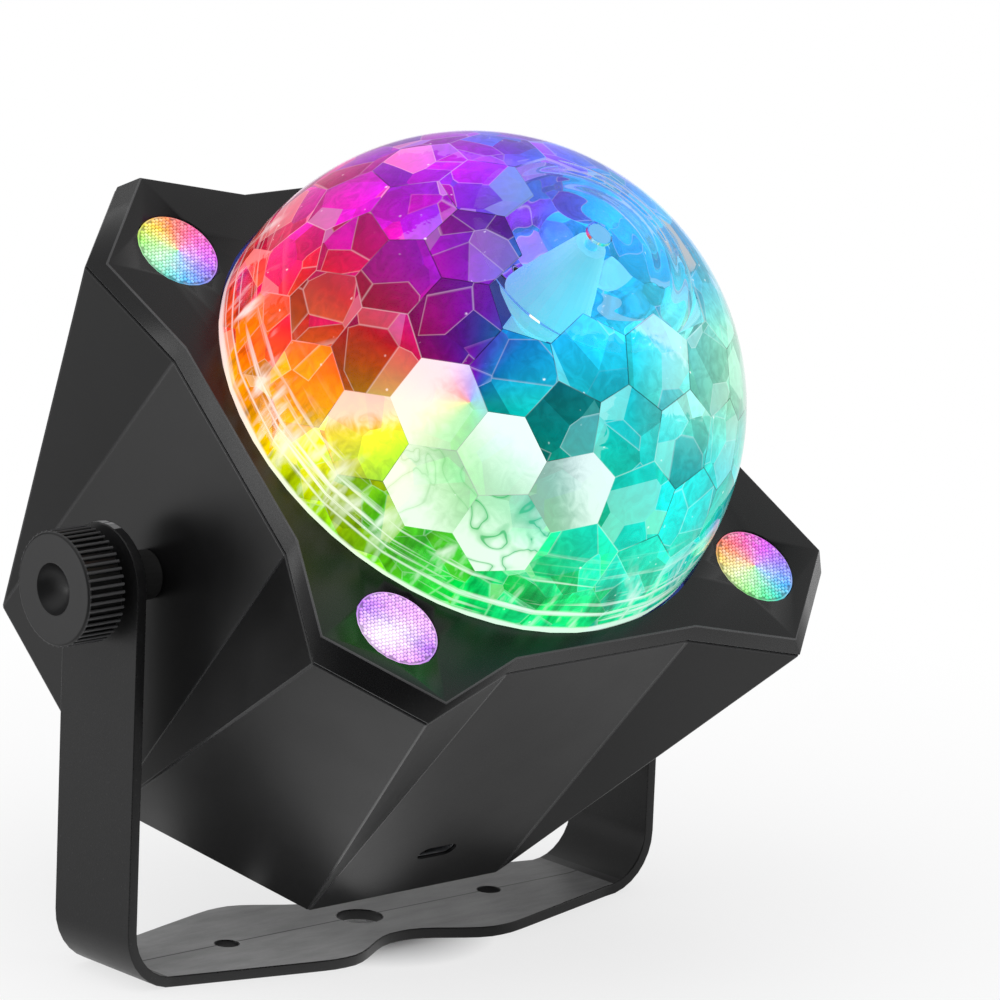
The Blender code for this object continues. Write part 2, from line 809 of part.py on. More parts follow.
def make_corner_lights():
    for word, spot in zip(corner_words, corners(lens_place, lens_place)):
        seat = -lens_seat_depth + fit_gap
        turned(f"{word}_lens", lens_plastic, head_top, [
            (0, seat + lens_thickness),
            (lens_radius - 2 * lens_crown, seat + lens_thickness),
            (lens_radius, seat + lens_thickness - lens_crown),
            (lens_radius, seat),
            (0, seat),
        ], medium_segments, spot)
        base = -lens_tube_depth
        board = base + module_thickness
        turned(f"{word}_led_module", white_board, head_top, [
            (0, board + emitter_height),
            (emitter_radius / 2, board + emitter_height - emitter_radius * emitter_crown_share),
            (emitter_radius, board + emitter_height / 2),
            (emitter_radius, board),
            (lens_radius - fit_gap, board),
            (lens_radius - fit_gap, base),
            (0, base),
        ], small_segments, spot)


def make_tray():
    """The floor under the dome: it carries the lamp board, closes the lens tubes and holds the motor."""
    outline = inset(casing_section(tray_bottom), wall + 2 * fit_gap)
    tray = plate("inner_tray", black_plastic, head_top, outline, -tray_bottom, -tray_top)
    inside_plate = (tray_top + tray_bottom) / 2
    for number, spot in enumerate(corners(case_post_place, case_post_place), 1):
        join(tray, cylinder(
            f"case_boss_{number}", None, head_top, case_post_radius, -case_boss_bottom, -inside_plate, spot,
            small_segments,
        ))
        cut(tray, cylinder(
            f"case_boss_bore_{number}", None, head_top, screw_radius + bore_gap,
            -case_boss_bottom - overrun, -tray_top - case_bore_roof, spot, small_segments,
        ))
    cut(tray, cylinder(
        "tray_centre_hole", None, head_top, tray_hole_radius, -tray_bottom - overrun, -tray_top + overrun
    ))
    holes = [(spot, screw_radius + bore_gap) for spot in corners(*tray_screw_place)]
    holes += [(spot, lead_radius + lead_hole_gap) for spot in corners(lens_place, lens_place)]
    holes += [((side * motor_ear_place, 0), screw_radius + bore_gap) for side in (-1, 1)]
    holes += [((0, -lamp_lead_place), lead_radius + lead_hole_gap)]
    for number, (spot, radius) in enumerate(holes, 1):
        cut(tray, cylinder(
            f"tray_hole_{number}", None, head_top, radius, -tray_bottom - overrun, -tray_top + overrun, spot,
            small_segments,
        ))
    return tray


def make_lamp_board():
    board = cylinder(
        "lamp_board", white_board, head_top, lamp_board_radius, -lamp_board_bottom, -lamp_board_top,
        sides=large_segments,
    )
    cut(board, cylinder(
        "lamp_board_hole", None, head_top, lamp_board_hole_radius, -lamp_board_bottom - overrun,
        -lamp_board_top + overrun,
    ))
    for side, word in side_names.items():
        cut(board, cylinder(
            f"{word}_lamp_board_screw_hole", None, head_top, screw_radius + bore_gap,
            -lamp_board_bottom - overrun, -lamp_board_top + overrun, (side * motor_ear_place, 0),
            small_segments,
        ))
    seat = -lamp_board_top + fit_gap
    for number in range(led_count):
        angle = 2 * math.pi * (number + 0.5) / led_count
        spot = (led_ring_radius * math.cos(angle), led_ring_radius * math.sin(angle))
        lens = arc((0, seat + led_height), led_lens_radius, math.pi / 2, 0, led_lens_steps)
        turned(
            f"lamp_led_{number + 1}", led_yellow, head_top,
            lens + [(led_radius, seat + led_height), (led_radius, seat), (0, seat)], small_segments, spot,
        )
    return board


def make_motor():
    top = tray_bottom + fit_gap
    bottom = top + motor_length
    bore = shaft_radius + bore_gap
    bore_bottom = motor_neck_depth + shaft_in_motor + fit_gap
    motor = turned("dome_motor", steel, head_top, [
        (bore, -motor_neck_depth),
        (motor_neck_radius, -motor_neck_depth),
        (motor_neck_radius, -top),
        (motor_radius, -top),
        (motor_radius, -bottom),
        (motor_cap_radius, -bottom),
        (motor_cap_radius, -bottom - motor_cap_length),
        (0, -bottom - motor_cap_length),
        (0, -bore_bottom),
        (bore, -bore_bottom),
        (bore, -motor_neck_depth),
    ])
    ears = plate(
        "motor_ears", None, head_top,
        slot_outline(2 * (motor_ear_place + motor_ear_half_width), 2 * motor_ear_half_width),
        -top - motor_ear_thickness, -top,
    )
    ears_low = -top - motor_ear_thickness
    ear_core = cylinder(
        "motor_ear_core", None, head_top, motor_radius - overrun, ears_low - overrun, -top + overrun
    )
    cut(ears, ear_core)
    ears.location = (0, 0, -fit_gap)
    join(motor, ears)
    for side, word in side_names.items():
        spot = (side * motor_ear_place, 0)
        cut(motor, cylinder(
            f"{word}_motor_ear_hole", None, head_top, screw_radius + bore_gap, ears_low - overrun,
            -top + overrun, spot, small_segments,
        ))
        head = -lamp_board_top + fit_gap
        turned(f"{word}_motor_screw", steel, head_top, [
            (0, head + screw_head_height / 2),
            (screw_radius * screw_recess_share, head + screw_head_height),
            (screw_head_radius * screw_recess_share, head + screw_head_height),
            (screw_head_radius, head + screw_head_height / 2),
            (screw_head_radius, head),
            (screw_radius, head),
            (screw_radius, ears_low - overrun),
            (0, ears_low - overrun),
        ], small_segments, spot)
    return motor


def make_dome():
    """A turned crystal shell whose inside is cut to flats by the faces of a round polyhedron."""
    bottom = -dome_skirt_depth
    centre = dome_centre_rise
    outside = arc((0, centre), dome_radius, math.pi / 2, 0, dome_rings)
    dome = turned(
        "crystal_dome", crystal, spin_axis, outside + [(dome_radius, bottom), (0, bottom)], dome_segments
    )
    flats = round_polyhedron("dome_flats", facet_distance, centre)
    skirt = cylinder(
        "dome_skirt_bore", None, spin_axis, dome_radius - dome_skirt_wall, bottom - overrun,
        centre + overrun, sides=dome_segments,
    )
    cut(dome, flats, skirt)
    pole = centre + dome_radius
    cut(dome, cylinder(
        "pole_seat", None, spin_axis, pole_seat_radius, pole - pole_seat_depth, pole + overrun
    ), cylinder(
        "pole_hole", None, spin_axis, pole_screw_radius + bore_gap, centre + facet_distance - overrun,
        pole + overrun, sides=small_segments,
    ))

    hub_top = centre + facet_distance - fit_gap
    cone = -hub_cone_depth
    shaft_top = -hub_bottom_depth + shaft_grip
    bore = shaft_radius + bore_gap
    screw_seat = pole - pole_seat_depth + fit_gap
    screw_tip = screw_seat - pole_screw_length
    screw_bore = pole_screw_radius + bore_gap
    turned("dome_hub", white_plastic, spin_axis, [
        (screw_bore, hub_top),
        (hub_tip_radius, hub_top),
        (hub_cone_radius, cone),
        (hub_cone_radius, cone - hub_lip),
        (hub_tube_radius, cone - hub_flare),
        (hub_tube_radius, -hub_bottom_depth),
        (bore, -hub_bottom_depth),
        (bore, shaft_top + fit_gap),
        (0, shaft_top + fit_gap),
        (0, screw_tip - fit_gap),
        (screw_bore, screw_tip - fit_gap),
        (screw_bore, hub_top),
    ])
    turned("pole_screw", steel, spin_axis, [
        (0, screw_seat + pole_screw_head_height),
        (pole_screw_head_radius, screw_seat + pole_screw_head_height * (1 - screw_head_edge_share)),
        (pole_screw_head_radius, screw_seat),
        (pole_screw_radius, screw_seat),
        (pole_screw_radius, screw_tip),
        (0, screw_tip),
    ], small_segments)
    cylinder(
        "motor_shaft", steel, spin_axis, shaft_radius, -motor_neck_depth - shaft_in_motor, shaft_top,
        sides=small_segments,
    )
    return dome


def round_polyhedron(name, distance, height):
    """Six-sided flats, all as far from the centre: each touches the ball at a point of a divided icosahedron."""
    turn = Euler([math.radians(angle) for angle in facet_turn_degrees]).to_matrix().to_4x4()
    points = bmesh.new()
    bmesh.ops.create_icosphere(points, subdivisions=facet_levels, radius=1, matrix=turn)
    points.verts.ensure_lookup_table()
    normals = [vertex.co.normalized() for vertex in points.verts]
    meets = {}
    for face in points.faces:
        rows = Matrix([normals[vertex.index] for vertex in face.verts])
        meets[face.index] = rows.inverted() @ Vector((distance, distance, distance))
    bm = bmesh.new()
    made = {index: bm.verts.new(point + Vector((0, 0, height))) for index, point in meets.items()}
    for vertex in points.verts:
        out = normals[vertex.index]
        across = out.orthogonal().normalized()
        along = out.cross(across)
        around = sorted(
            (face.index for face in vertex.link_faces),
            key=lambda index: math.atan2(meets[index].dot(along), meets[index].dot(across)),
        )
        bm.faces.new([made[index] for index in around])
    points.free()
    return place(mesh_of(bm, name), name, None, spin_axis)


def make_control_board():
    front = -(front_panel_at(board_top) - wall - control_board_edge_gap)
    half = control_board_half_width
    outline = [(half, front), (half, control_board_back), (-half, control_board_back), (-half, front)]
    board = plate("control_board", green_board, head_top, outline, -board_bottom, -board_top)
    seat = -board_top + fit_gap
    for number, spot in enumerate(board_post_spots()[:2], 1):
        cut(board, cylinder(
            f"board_hole_{number}", None, head_top, board_screw_radius + bore_gap, -board_bottom - overrun,
            -board_top + overrun, spot, small_segments,
        ))
        turned(f"board_screw_{number}", steel, head_top, [
            (0, seat + screw_head_height / 2),
            (board_screw_radius * screw_recess_share, seat + screw_head_height),
            (board_screw_head_radius * screw_recess_share, seat + screw_head_height),
            (board_screw_head_radius, seat + screw_head_height / 2),
            (board_screw_head_radius, seat),
            (board_screw_radius, seat),
            (board_screw_radius, -floor_top + 2 * fit_gap),
            (0, -floor_top + 2 * fit_gap),
        ], small_segments, spot)

    mouth = front_panel_at(socket_depth) - socket_recess
    socket = plate(
        "charging_socket", steel, head_top, slot_outline(socket_width, socket_height),
        mouth - socket_length, mouth, along="Y",
    )
    inner = slot_outline(socket_width - 2 * socket_shell, socket_height - 2 * socket_shell)
    hollow = plate(
        "socket_hollow", None, head_top, inner, mouth - socket_mouth_depth, mouth + overrun, along="Y"
    )
    tongue_length = socket_mouth_depth - socket_shell
    tongue = block(
        "socket_tongue", None, head_top,
        (socket_tongue_width, tongue_length, socket_tongue_thickness),
        (0, -(mouth - socket_mouth_depth - socket_shell + tongue_length / 2), -socket_depth),
    )
    for piece in (socket, hollow):
        piece.location = (0, 0, -socket_depth)
    cut(socket, hollow)
    join(socket, tongue)

    def on_board(name, look, size, spot):
        return block(name, look, head_top, size, (*spot, seat + size[2] / 2))

    def from_front(spot):
        return (spot[0], front + spot[1])

    on_board("controller_chip", grey_plastic, chip_size, from_front(chip_place))
    on_board("infrared_receiver", grey_plastic, receiver_size, from_front(receiver_place))
    on_board("lead_header", white_plastic, header_size, header_place)
    cylinder(
        "storage_capacitor", grey_plastic, head_top, capacitor_radius, seat, seat + capacitor_height,
        from_front(capacitor_place),
    )
    cylinder(
        "microphone", steel, head_top, microphone_radius, seat, seat + microphone_height,
        from_front(microphone_place),
    )
    return board


def lead(name, route):
    """A round lead through its route's points, drawn as a smooth curve."""
    points = smooth_route([Vector(point) for point in route])
    curve = bpy.data.curves.new(name, "CURVE")
    curve.dimensions = "3D"
    curve.bevel_depth = lead_radius
    curve.bevel_resolution = lead_sides_resolution
    curve.use_fill_caps = True
    spline = curve.splines.new("POLY")
    spline.points.add(len(points) - 1)
    for target, point in zip(spline.points, points):
        target.co = (*point, 1)
    made = bpy.data.objects.new(name, curve)
    made.parent = head_top
    curve.materials.append(lead_sheath)
    parts.objects.link(made)
    return made


def smooth_route(points):
    """A Catmull-Rom curve through the points."""
    ends = [2 * points[0] - points[1], *points, 2 * points[-1] - points[-2]]
    made = []
    for a, b, c, d in zip(ends, ends[1:], ends[2:], ends[3:]):
        for step in range(lead_steps):
            t = step / lead_steps
            made.append(
                0.5 * ((2 * b) + (c - a) * t + (2 * a - 5 * b + 4 * c - d) * t**2
                       + (3 * b - a - 3 * c + d) * t**3)
            )
    return made + [points[-1]]


def make_leads():
    """Each lead leaves its board or motor downwards and ends square on the header."""
    header_top = -board_top + fit_gap + header_size[2] + fit_gap
    header_y = header_place[1]
    rise = header_size[2]

    def into_header(x):
        return [(x, header_y, header_top + height) for height in (rise, rise / 2, 0)]

    slots = [spacings * corner_lead_spacing for spacings in corner_lead_slots]
    (upper_x, upper_y), (middle_x, middle_y) = lead_upper_bend_shares, lead_middle_shares
    lower_x, lower_y = lead_lower_bend_shares
    for word, spot, slot in zip(corner_words, corners(lens_place, lens_place), slots):
        x, y = spot
        start = -lens_tube_depth - fit_gap
        lead(f"{word}_lead", [
            (x, y, start),
            (x, y, -tray_bottom - fit_gap),
            (x * upper_x, y * upper_y, -tray_bottom - 2 * rise),
            (x * middle_x, y * middle_y, -(tray_bottom + board_top) / 2),
            (slot + (x - slot) * lower_x, header_y + (y - header_y) * lower_y, header_top + 2 * rise),
            *into_header(slot),
        ])
    motor_end = -(tray_bottom + fit_gap + motor_length + motor_cap_length + fit_gap)
    motor_slot = corner_lead_spacing / 2
    lead("motor_lead", [
        (motor_slot, 0, motor_end),
        (motor_slot, 0, motor_end - rise / 2),
        (motor_slot, header_y / 2, (motor_end + header_top) / 2),
        *into_header(motor_slot),
    ])
    lamp_slot = -corner_lead_spacing / 2
    lead("lamp_lead", [
        (0, -lamp_lead_place, -lamp_board_bottom - fit_gap),
        (0, -lamp_lead_place, -tray_bottom - fit_gap),
        (lamp_slot, -lamp_lead_place - rise / 2, -tray_bottom - rise),
        (lamp_slot, -lamp_lead_place - rise / 2, -(tray_bottom + board_top) / 2),
        (lamp_slot, header_y - rise / 2, header_top + 2 * rise),
        *into_header(lamp_slot),
    ])


def make_screws():
    for number, spot in enumerate(corners(*tray_screw_place), 1):
        screw_up(
            f"tray_screw_{number}", steel, head_top, spot, tray_bottom + fit_gap, tray_thickness + screw_bite,
            screw_radius, screw_head_radius, screw_head_height,
        )
    head_depth = case_boss_bottom + fit_gap + case_ledge_length + fit_gap
    reach = head_depth - tray_top - case_bore_roof - fit_gap
    for number, spot in enumerate(corners(case_post_place, case_post_place), 1):
        screw_up(
            f"case_screw_{number}", steel, head_top, spot, head_depth, reach, screw_radius,
            case_screw_head_radius, case_screw_head_height,
        )


make_bracket()
for clamp_side in side_names:
    make_clamp(clamp_side)
make_housing()
make_cover()
make_corner_lights()
make_tray()
make_lamp_board()
make_motor()
make_dome()
make_control_board()
make_leads()
make_screws()
bpy.context.view_layer.update()
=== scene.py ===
import json
import math
import random

import bmesh
import bpy
from mathutils import Euler, Matrix, Vector


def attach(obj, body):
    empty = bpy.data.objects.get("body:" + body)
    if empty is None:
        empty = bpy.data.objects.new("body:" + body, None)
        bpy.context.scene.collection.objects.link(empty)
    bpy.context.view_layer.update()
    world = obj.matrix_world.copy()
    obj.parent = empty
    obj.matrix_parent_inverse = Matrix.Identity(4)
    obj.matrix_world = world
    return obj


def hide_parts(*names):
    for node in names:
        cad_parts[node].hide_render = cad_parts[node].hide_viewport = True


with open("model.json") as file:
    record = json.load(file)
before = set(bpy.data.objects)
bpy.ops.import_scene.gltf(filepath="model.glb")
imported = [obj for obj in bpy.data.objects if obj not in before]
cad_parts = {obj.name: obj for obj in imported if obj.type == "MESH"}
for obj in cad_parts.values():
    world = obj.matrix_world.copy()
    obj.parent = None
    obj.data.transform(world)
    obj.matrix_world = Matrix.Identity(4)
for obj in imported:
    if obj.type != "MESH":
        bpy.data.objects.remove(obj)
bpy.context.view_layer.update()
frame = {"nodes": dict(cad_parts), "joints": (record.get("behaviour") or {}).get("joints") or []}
cadNodes = frame["nodes"]
joints = {joint["name"]: joint for joint in frame["joints"]}

pivot = Vector(joints["head_tilt"]["pos_m"])
domeAxis = Vector(joints["dome_spin"]["axis"]).normalized()
tilt = math.atan2(-domeAxis.y, domeAxis.z)
head = {"topHeight": 0.0417, "domeRise": 0.001}  # above the tilt axis, above the top face
topPlace = Matrix.Translation(pivot) @ Matrix.Rotation(tilt, 4, "X") @ Matrix.Translation((0, 0, head["topHeight"]))
domePlace = topPlace @ Matrix.Translation((0, 0, head["domeRise"]))
print("frame loaded:", len(cadNodes), "nodes")

camera = {
    "azimuth": -41.4247, "elevation": 13.2097, "roll": 2.3142,
    "target": (0.033088, 0.005247, 0.084128), "distance": 1.43576, "lens": 256.42, "sensor": 36, "farEnd": 50,
}


def wayTowards(azimuth, elevation):
    # Unit vector at two angles in degrees: azimuth 0 is the front, 90 the right
    azimuth, elevation = math.radians(azimuth), math.radians(elevation)
    level = Vector((math.sin(azimuth), -math.cos(azimuth), 0))
    return level * math.cos(elevation) + Vector((0, 0, math.sin(elevation)))


def makeCamera():
    back = wayTowards(camera["azimuth"], camera["elevation"])
    right = wayTowards(camera["azimuth"] + 90, 0)
    level = Matrix((right, back.cross(right), back)).transposed()
    turn = (level @ Matrix.Rotation(math.radians(camera["roll"]), 3, "Z")).to_4x4()
    data = bpy.data.cameras.new("photoCamera")
    data.lens, data.sensor_width, data.clip_end = camera["lens"], camera["sensor"], camera["farEnd"]
    holder = bpy.data.objects.new("photoCamera", data)
    bpy.context.scene.collection.objects.link(holder)
    holder.matrix_world = Matrix.Translation(Vector(camera["target"]) + back * camera["distance"]) @ turn
    bpy.context.scene.camera = holder
    return back


cameraSide = makeCamera()
print("camera placed")


def link(mesh, name, material=None):
    piece = bpy.data.objects.new(name, mesh)
    bpy.context.scene.collection.objects.link(piece)
    if material:
        mesh.materials.clear()
        mesh.materials.append(material)
    return piece


def pieceFrom(bm, name, material=None):
    bmesh.ops.recalc_face_normals(bm, faces=bm.faces)
    mesh = bpy.data.meshes.new(name)
    bm.to_mesh(mesh)
    bm.free()
    return link(mesh, name, material)


def turnedPiece(name, profile, segments):
    # Revolve (radius, height) points round Z into a closed form
    bm = bmesh.new()
    steps = [2 * math.pi * i / segments for i in range(segments)]
    rings = []
    for radius, height in profile:
        if radius < 1e-7:
            rings.append([bm.verts.new((0, 0, height))])
        else:
            rings.append([bm.verts.new((radius * math.cos(step), radius * math.sin(step), height)) for step in steps])
    pairs = list(zip(rings, rings[1:]))
    if len(rings[0]) > 1:
        pairs.append((rings[-1], rings[0]))
    for low, high in pairs:
        for i in range(segments):
            j = (i + 1) % segments
            corner = [low[i % len(low)], low[j % len(low)], high[j % len(high)], high[i % len(high)]]
            face = [vertex for k, vertex in enumerate(corner) if vertex not in corner[:k]]
            if len(face) > 2:
                bm.faces.new(face)
    return pieceFrom(bm, name)


def arcPoints(centre, radius, start, end, steps):
    turns = [start + (end - start) * i / steps for i in range(steps + 1)]
    return [(centre[0] + radius * math.cos(turn), centre[1] + radius * math.sin(turn)) for turn in turns]


def evaluated(piece):
    # Everything live on the piece becomes plain mesh, and the piece keeps its name
    bpy.context.view_layer.update()
    graph = bpy.context.evaluated_depsgraph_get()
    mesh = bpy.data.meshes.new_from_object(piece.evaluated_get(graph), preserve_all_data_layers=True, depsgraph=graph)
    piece.modifiers.clear()
    piece.data = mesh
    return piece


def cutWith(piece, tools):
    for tool in tools:
        modifier = piece.modifiers.new("cut", "BOOLEAN")
        modifier.operation, modifier.solver, modifier.object = "DIFFERENCE", "EXACT", tool
    evaluated(piece)
    for tool in tools:
        bpy.data.objects.remove(tool)


def crispNormals(piece, angle):
    # Big flats stay flat and narrow rounds between them shade softly
    piece.data.shade_smooth()
    piece.data.set_sharp_from_angle(angle=math.radians(angle))
    weighted = piece.modifiers.new("weighted", "WEIGHTED_NORMAL")
    weighted.keep_sharp, weighted.weight = True, 100
    evaluated(piece)


class Wire:
    # A node's output that can be reckoned with: each step adds its node to the same tree
    def __init__(self, net, socket):
        self.net, self.socket = net, socket

    def __add__(self, other):
        return self.net.calc("ADD", self, other)

    def __sub__(self, other):
        return self.net.calc("SUBTRACT", self, other)

    def __rsub__(self, other):
        return self.net.calc("SUBTRACT", other, self)

    def __mul__(self, other):
        return self.net.calc("MULTIPLY", self, other)

    def __truediv__(self, other):
        return self.net.calc("DIVIDE", self, other)

    def axis(self, letter):
        return self.net.out("ShaderNodeSeparateXYZ", {0: self}, letter)

    def angle(self):
        return self.net.calc("ARCTAN2", self.axis("Y"), self.axis("X"))

    def spread(self, low, high, newLow, newHigh, smooth=False):
        # From one span to another, held at its ends
        return self.net.out("ShaderNodeMapRange", {
            "Value": self, "From Min": low, "From Max": high, "To Min": newLow, "To Max": newHigh,
        }, clamp=True, interpolation_type="SMOOTHSTEP" if smooth else "LINEAR")

    def rise(self, low, high, top=1.0, smooth=False):
        return self.spread(low, high, 0.0, top, smooth)

    def fall(self, low, high, top=1.0, smooth=False):
        return self.spread(low, high, top, 0.0, smooth)


class Net:
    # A node tree, with a short word for each node that recurs; other types are named without their family
    def __init__(self, tree, family="ShaderNode"):
        self.tree, self.family = tree, family

    def fill(self, node, inputs):
        for key, value in inputs.items():
            socket = node.inputs[key]
            if isinstance(value, Wire):
                self.tree.links.new(value.socket, socket)
            else:
                socket.default_value = (*value[:3], 1) if socket.type == "RGBA" else value

    def node(self, kind, inputs=None, **settings):
        node = self.tree.nodes.new(kind if "Node" in kind else self.family + kind)
        for word, value in settings.items():
            setattr(node, word, value)
        self.fill(node, inputs or {})
        return node

    def out(self, kind, inputs=None, output=0, **settings):
        return Wire(self, self.node(kind, inputs, **settings).outputs[output])

    def outs(self, kind, inputs=None, **settings):
        return {socket.name: Wire(self, socket) for socket in self.node(kind, inputs, **settings).outputs}

    def calc(self, operation, *values, clamp=False):
        return self.out("ShaderNodeMath", dict(enumerate(values)), operation=operation, use_clamp=clamp)

    def most(self, first, *others):
        for other in others:
            first = self.calc("MAXIMUM", first, other)
        return first

    def vector(self, operation, first, second):
        output = "Value" if operation == "DOT_PRODUCT" else "Vector"
        inputs = {0: first, "Scale" if operation == "SCALE" else 1: second}
        return self.out("ShaderNodeVectorMath", inputs, output, operation=operation)

    def length(self, vector):
        return self.out("ShaderNodeVectorMath", {0: vector}, "Value", operation="LENGTH")

    def joined(self, x=0.0, y=0.0, z=0.0):
        return self.out("ShaderNodeCombineXYZ", {0: x, 1: y, 2: z})

    def ramp(self, value, stops):
        node = self.node("ValToRGB", {"Fac": value})
        elements = node.color_ramp.elements
        elements.remove(elements[-1])
        for i, (position, colour) in enumerate(stops):
            element = elements.new(position) if i else elements[0]
            element.position, element.color = position, (*colour, 1)
        return Wire(self, node.outputs["Color"])

    def mix(self, share, first, second, blend="MIX"):
        return self.out("Mix", {0: share, 6: first, 7: second}, 2, data_type="RGBA", blend_type=blend)

    def dimmed(self, colour, level):
        return self.mix(1.0, colour, self.out("CombineColor", {0: level, 1: level, 2: level}), "MULTIPLY")

    def noise(self, vector, scale, detail, rough=0.5, distortion=0.0):
        return self.out("TexNoise", {
            "Vector": vector, "Scale": scale, "Detail": detail, "Roughness": rough, "Distortion": distortion,
        })

    def cells(self, vector, scale, output, randomness=1.0, feature="F1"):
        inputs = {"Vector": vector, "Scale": scale, "Randomness": randomness}
        return self.out("TexVoronoi", inputs, output, feature=feature)

    def place(self):
        return self.out("TexCoord", output="Object")

    def mapped(self, vector, location, rotation, scale=(1.0, 1.0, 1.0)):
        inputs = {"Vector": vector, "Location": location, "Rotation": rotation, "Scale": scale}
        return self.out("Mapping", inputs, vector_type="POINT")

    def attribute(self, name, output="Fac"):
        return self.out("Attribute", output=output, attribute_name=name)

    def bump(self, height, strength, distance):
        return self.out("Bump", {"Strength": strength, "Distance": distance, "Height": height})

    def faceWay(self):
        return self.out("NewGeometry", output="True Normal")

    def named(self, name):
        return self.out("InputNamedAttribute", {"Name": name}, "Attribute", data_type="FLOAT_VECTOR")

    def stored(self, geometry, name, value, kind="FLOAT_VECTOR", domain="FACE"):
        inputs = {"Geometry": geometry, "Name": name, "Value": value}
        return self.out("StoreNamedAttribute", inputs, data_type=kind, domain=domain)

    def smoothRepeats(self, points, instance):
        spots = self.out("InstanceOnPoints", {"Points": points, "Instance": instance})
        return self.out("SetShadeSmooth", {"Geometry": self.out("RealizeInstances", {0: spots})})

    def bothOf(self, first, second):
        node = self.node("JoinGeometry", {0: first})
        self.fill(node, {0: second})
        return Wire(self, node.outputs[0])

    def finished(self, geometry, given):
        real = self.out("RealizeInstances", {0: geometry})
        self.node("NodeGroupOutput", {0: self.out("SetMaterial", {"Geometry": real, "Material": given["Material"]})})
        return self.tree


def geometryNet(name, inputs):
    # An input stands with its value, or with its kind where it gets the value from its modifier
    tree = bpy.data.node_groups.new(name, "GeometryNodeTree")
    for word, value in {**inputs, "Material": "Material"}.items():
        kind = {float: "Float", int: "Int", Euler: "Rotation"}.get(type(value), value)
        socket = tree.interface.new_socket(name=word, in_out="INPUT", socket_type=f"NodeSocket{kind}")
        if kind != value:
            socket.default_value = value
    tree.interface.new_socket(name="Geometry", in_out="OUTPUT", socket_type="NodeSocketGeometry")
    net = Net(tree, "GeometryNode")
    return net, net.outs("NodeGroupInput")


def runTree(tree, piece, values):
    # Run a geometry tree on a piece, or on an empty one of that name, and keep the result as plain mesh
    if isinstance(piece, str):
        piece = link(bpy.data.meshes.new(piece), piece)
    modifier = piece.modifiers.new("nodes", "NODES")
    modifier.node_group = tree
    for item in tree.interface.items_tree:
        if item.in_out == "INPUT" and item.name in values:
            modifier[item.identifier] = values[item.name]
    return evaluated(piece)


def newMaterial(name):
    material = bpy.data.materials.new(name)
    material.use_nodes = True
    return material, Net(material.node_tree), material.node_tree.nodes["Principled BSDF"]


# In the looks from here on, a fade is where it begins and ends and then what it comes to, and a noise is its
# scale, detail, roughness and distortion. These are the values of a finish that gives none of its own:
usualFinish = {
    "cloudScale": 60.0, "cloudDetail": (4.0, 0.6), "cloudShare": (0.30, 0.70), "roughCloud": (0.25, 0.75),
    "grainScale": 2600.0, "grainDetail": (3.0, 0.65), "grainStrength": 0.25, "grainDepth": 0.00004,
    "roughGrain": (0.3, 0.7, -0.03, 0.03), "speck": None, "speckColour": (0.25, 0.25, 0.26),
    # The first colour on the next line is a painted highlight for rounded edges, the last a painted shade for the
    # cover's slanted band
    "edge": None, "edgeHighlightCloud": (0.30, 0.60, 0.55, 1.0), "edgePolish": 0.16, "rimShaded": (0.004, 0.004, 0.0045),
    "rimShadeShare": 0.6, "metallic": 0.0, "specular": 0.5, "coat": None, "coatRough": 0.2,
    # Next: painted light on top faces, painted highlight and shade on ribs, and a painted glow
    "dust": None, "ribs": None, "paintedLight": None,
}
metal = {"grainScale": 2200.0, "metallic": 1.0, "grainStrength": 0.35}
# Painted light: pale grey on faces that look up, smeared along X and weaker to the right, and a painted reflection, a
# dark line along the strip
bracketTopLight = {
    "colour": (0.43, 0.43, 0.434), "upright": (0.95, 0.998), "smear": (60.0, 230.0, 60.0), "noise": (1.0, 5.0, 0.7),
    "smearShare": (0.32, 0.68, 0.62, 1.0), "lighterLeft": (-0.02, 0.04, 1.0, 0.49), "line": (0.00016, 0.0003, 0.85),
}
# The knob's ribs by their distance from its axis: root and crest with a painted highlight on the crest, and painted
# shade in the gap at their foot
knobRibLight = {
    "rise": (0.01085, 0.01138), "crest": (0.06, 0.06, 0.062), "gap": (0.001, 0.001, 0.001),
    "gapShadeFrom": (0.01045, 0.01085), "gapShadeShare": 0.8,
}


def paintTopLight(net, place, colour, look):
    # Painted light on the upward faces, stronger to the left, and a painted dark reflection line along the strip
    dust = look["dust"]
    upward = net.faceWay().axis("Z").rise(*dust["upright"])
    smear = net.noise(net.vector("MULTIPLY", place, dust["smear"]), *dust["noise"])
    share = upward * smear.spread(*dust["smearShare"])
    colour = net.mix(share * place.axis("X").spread(*dust["lighterLeft"]), colour, dust["colour"])
    across = net.calc("ABSOLUTE", place.axis("Y") - pivot.y)
    return net.mix(upward * across.fall(*dust["line"]), colour, look["dark"])


def paintRibLight(net, place, colour, ribs):
    # Painted highlight on the rib crests and painted shade in the gaps at their foot
    away = net.length(net.joined(0.0, place.axis("Y") - pivot.y, place.axis("Z") - pivot.z))
    colour = net.mix(away.rise(*ribs["rise"]), colour, ribs["crest"])
    gap = away.rise(*ribs["gapShadeFrom"]) * away.fall(*ribs["rise"])
    return net.mix(gap * ribs["gapShadeShare"], colour, ribs["gap"])


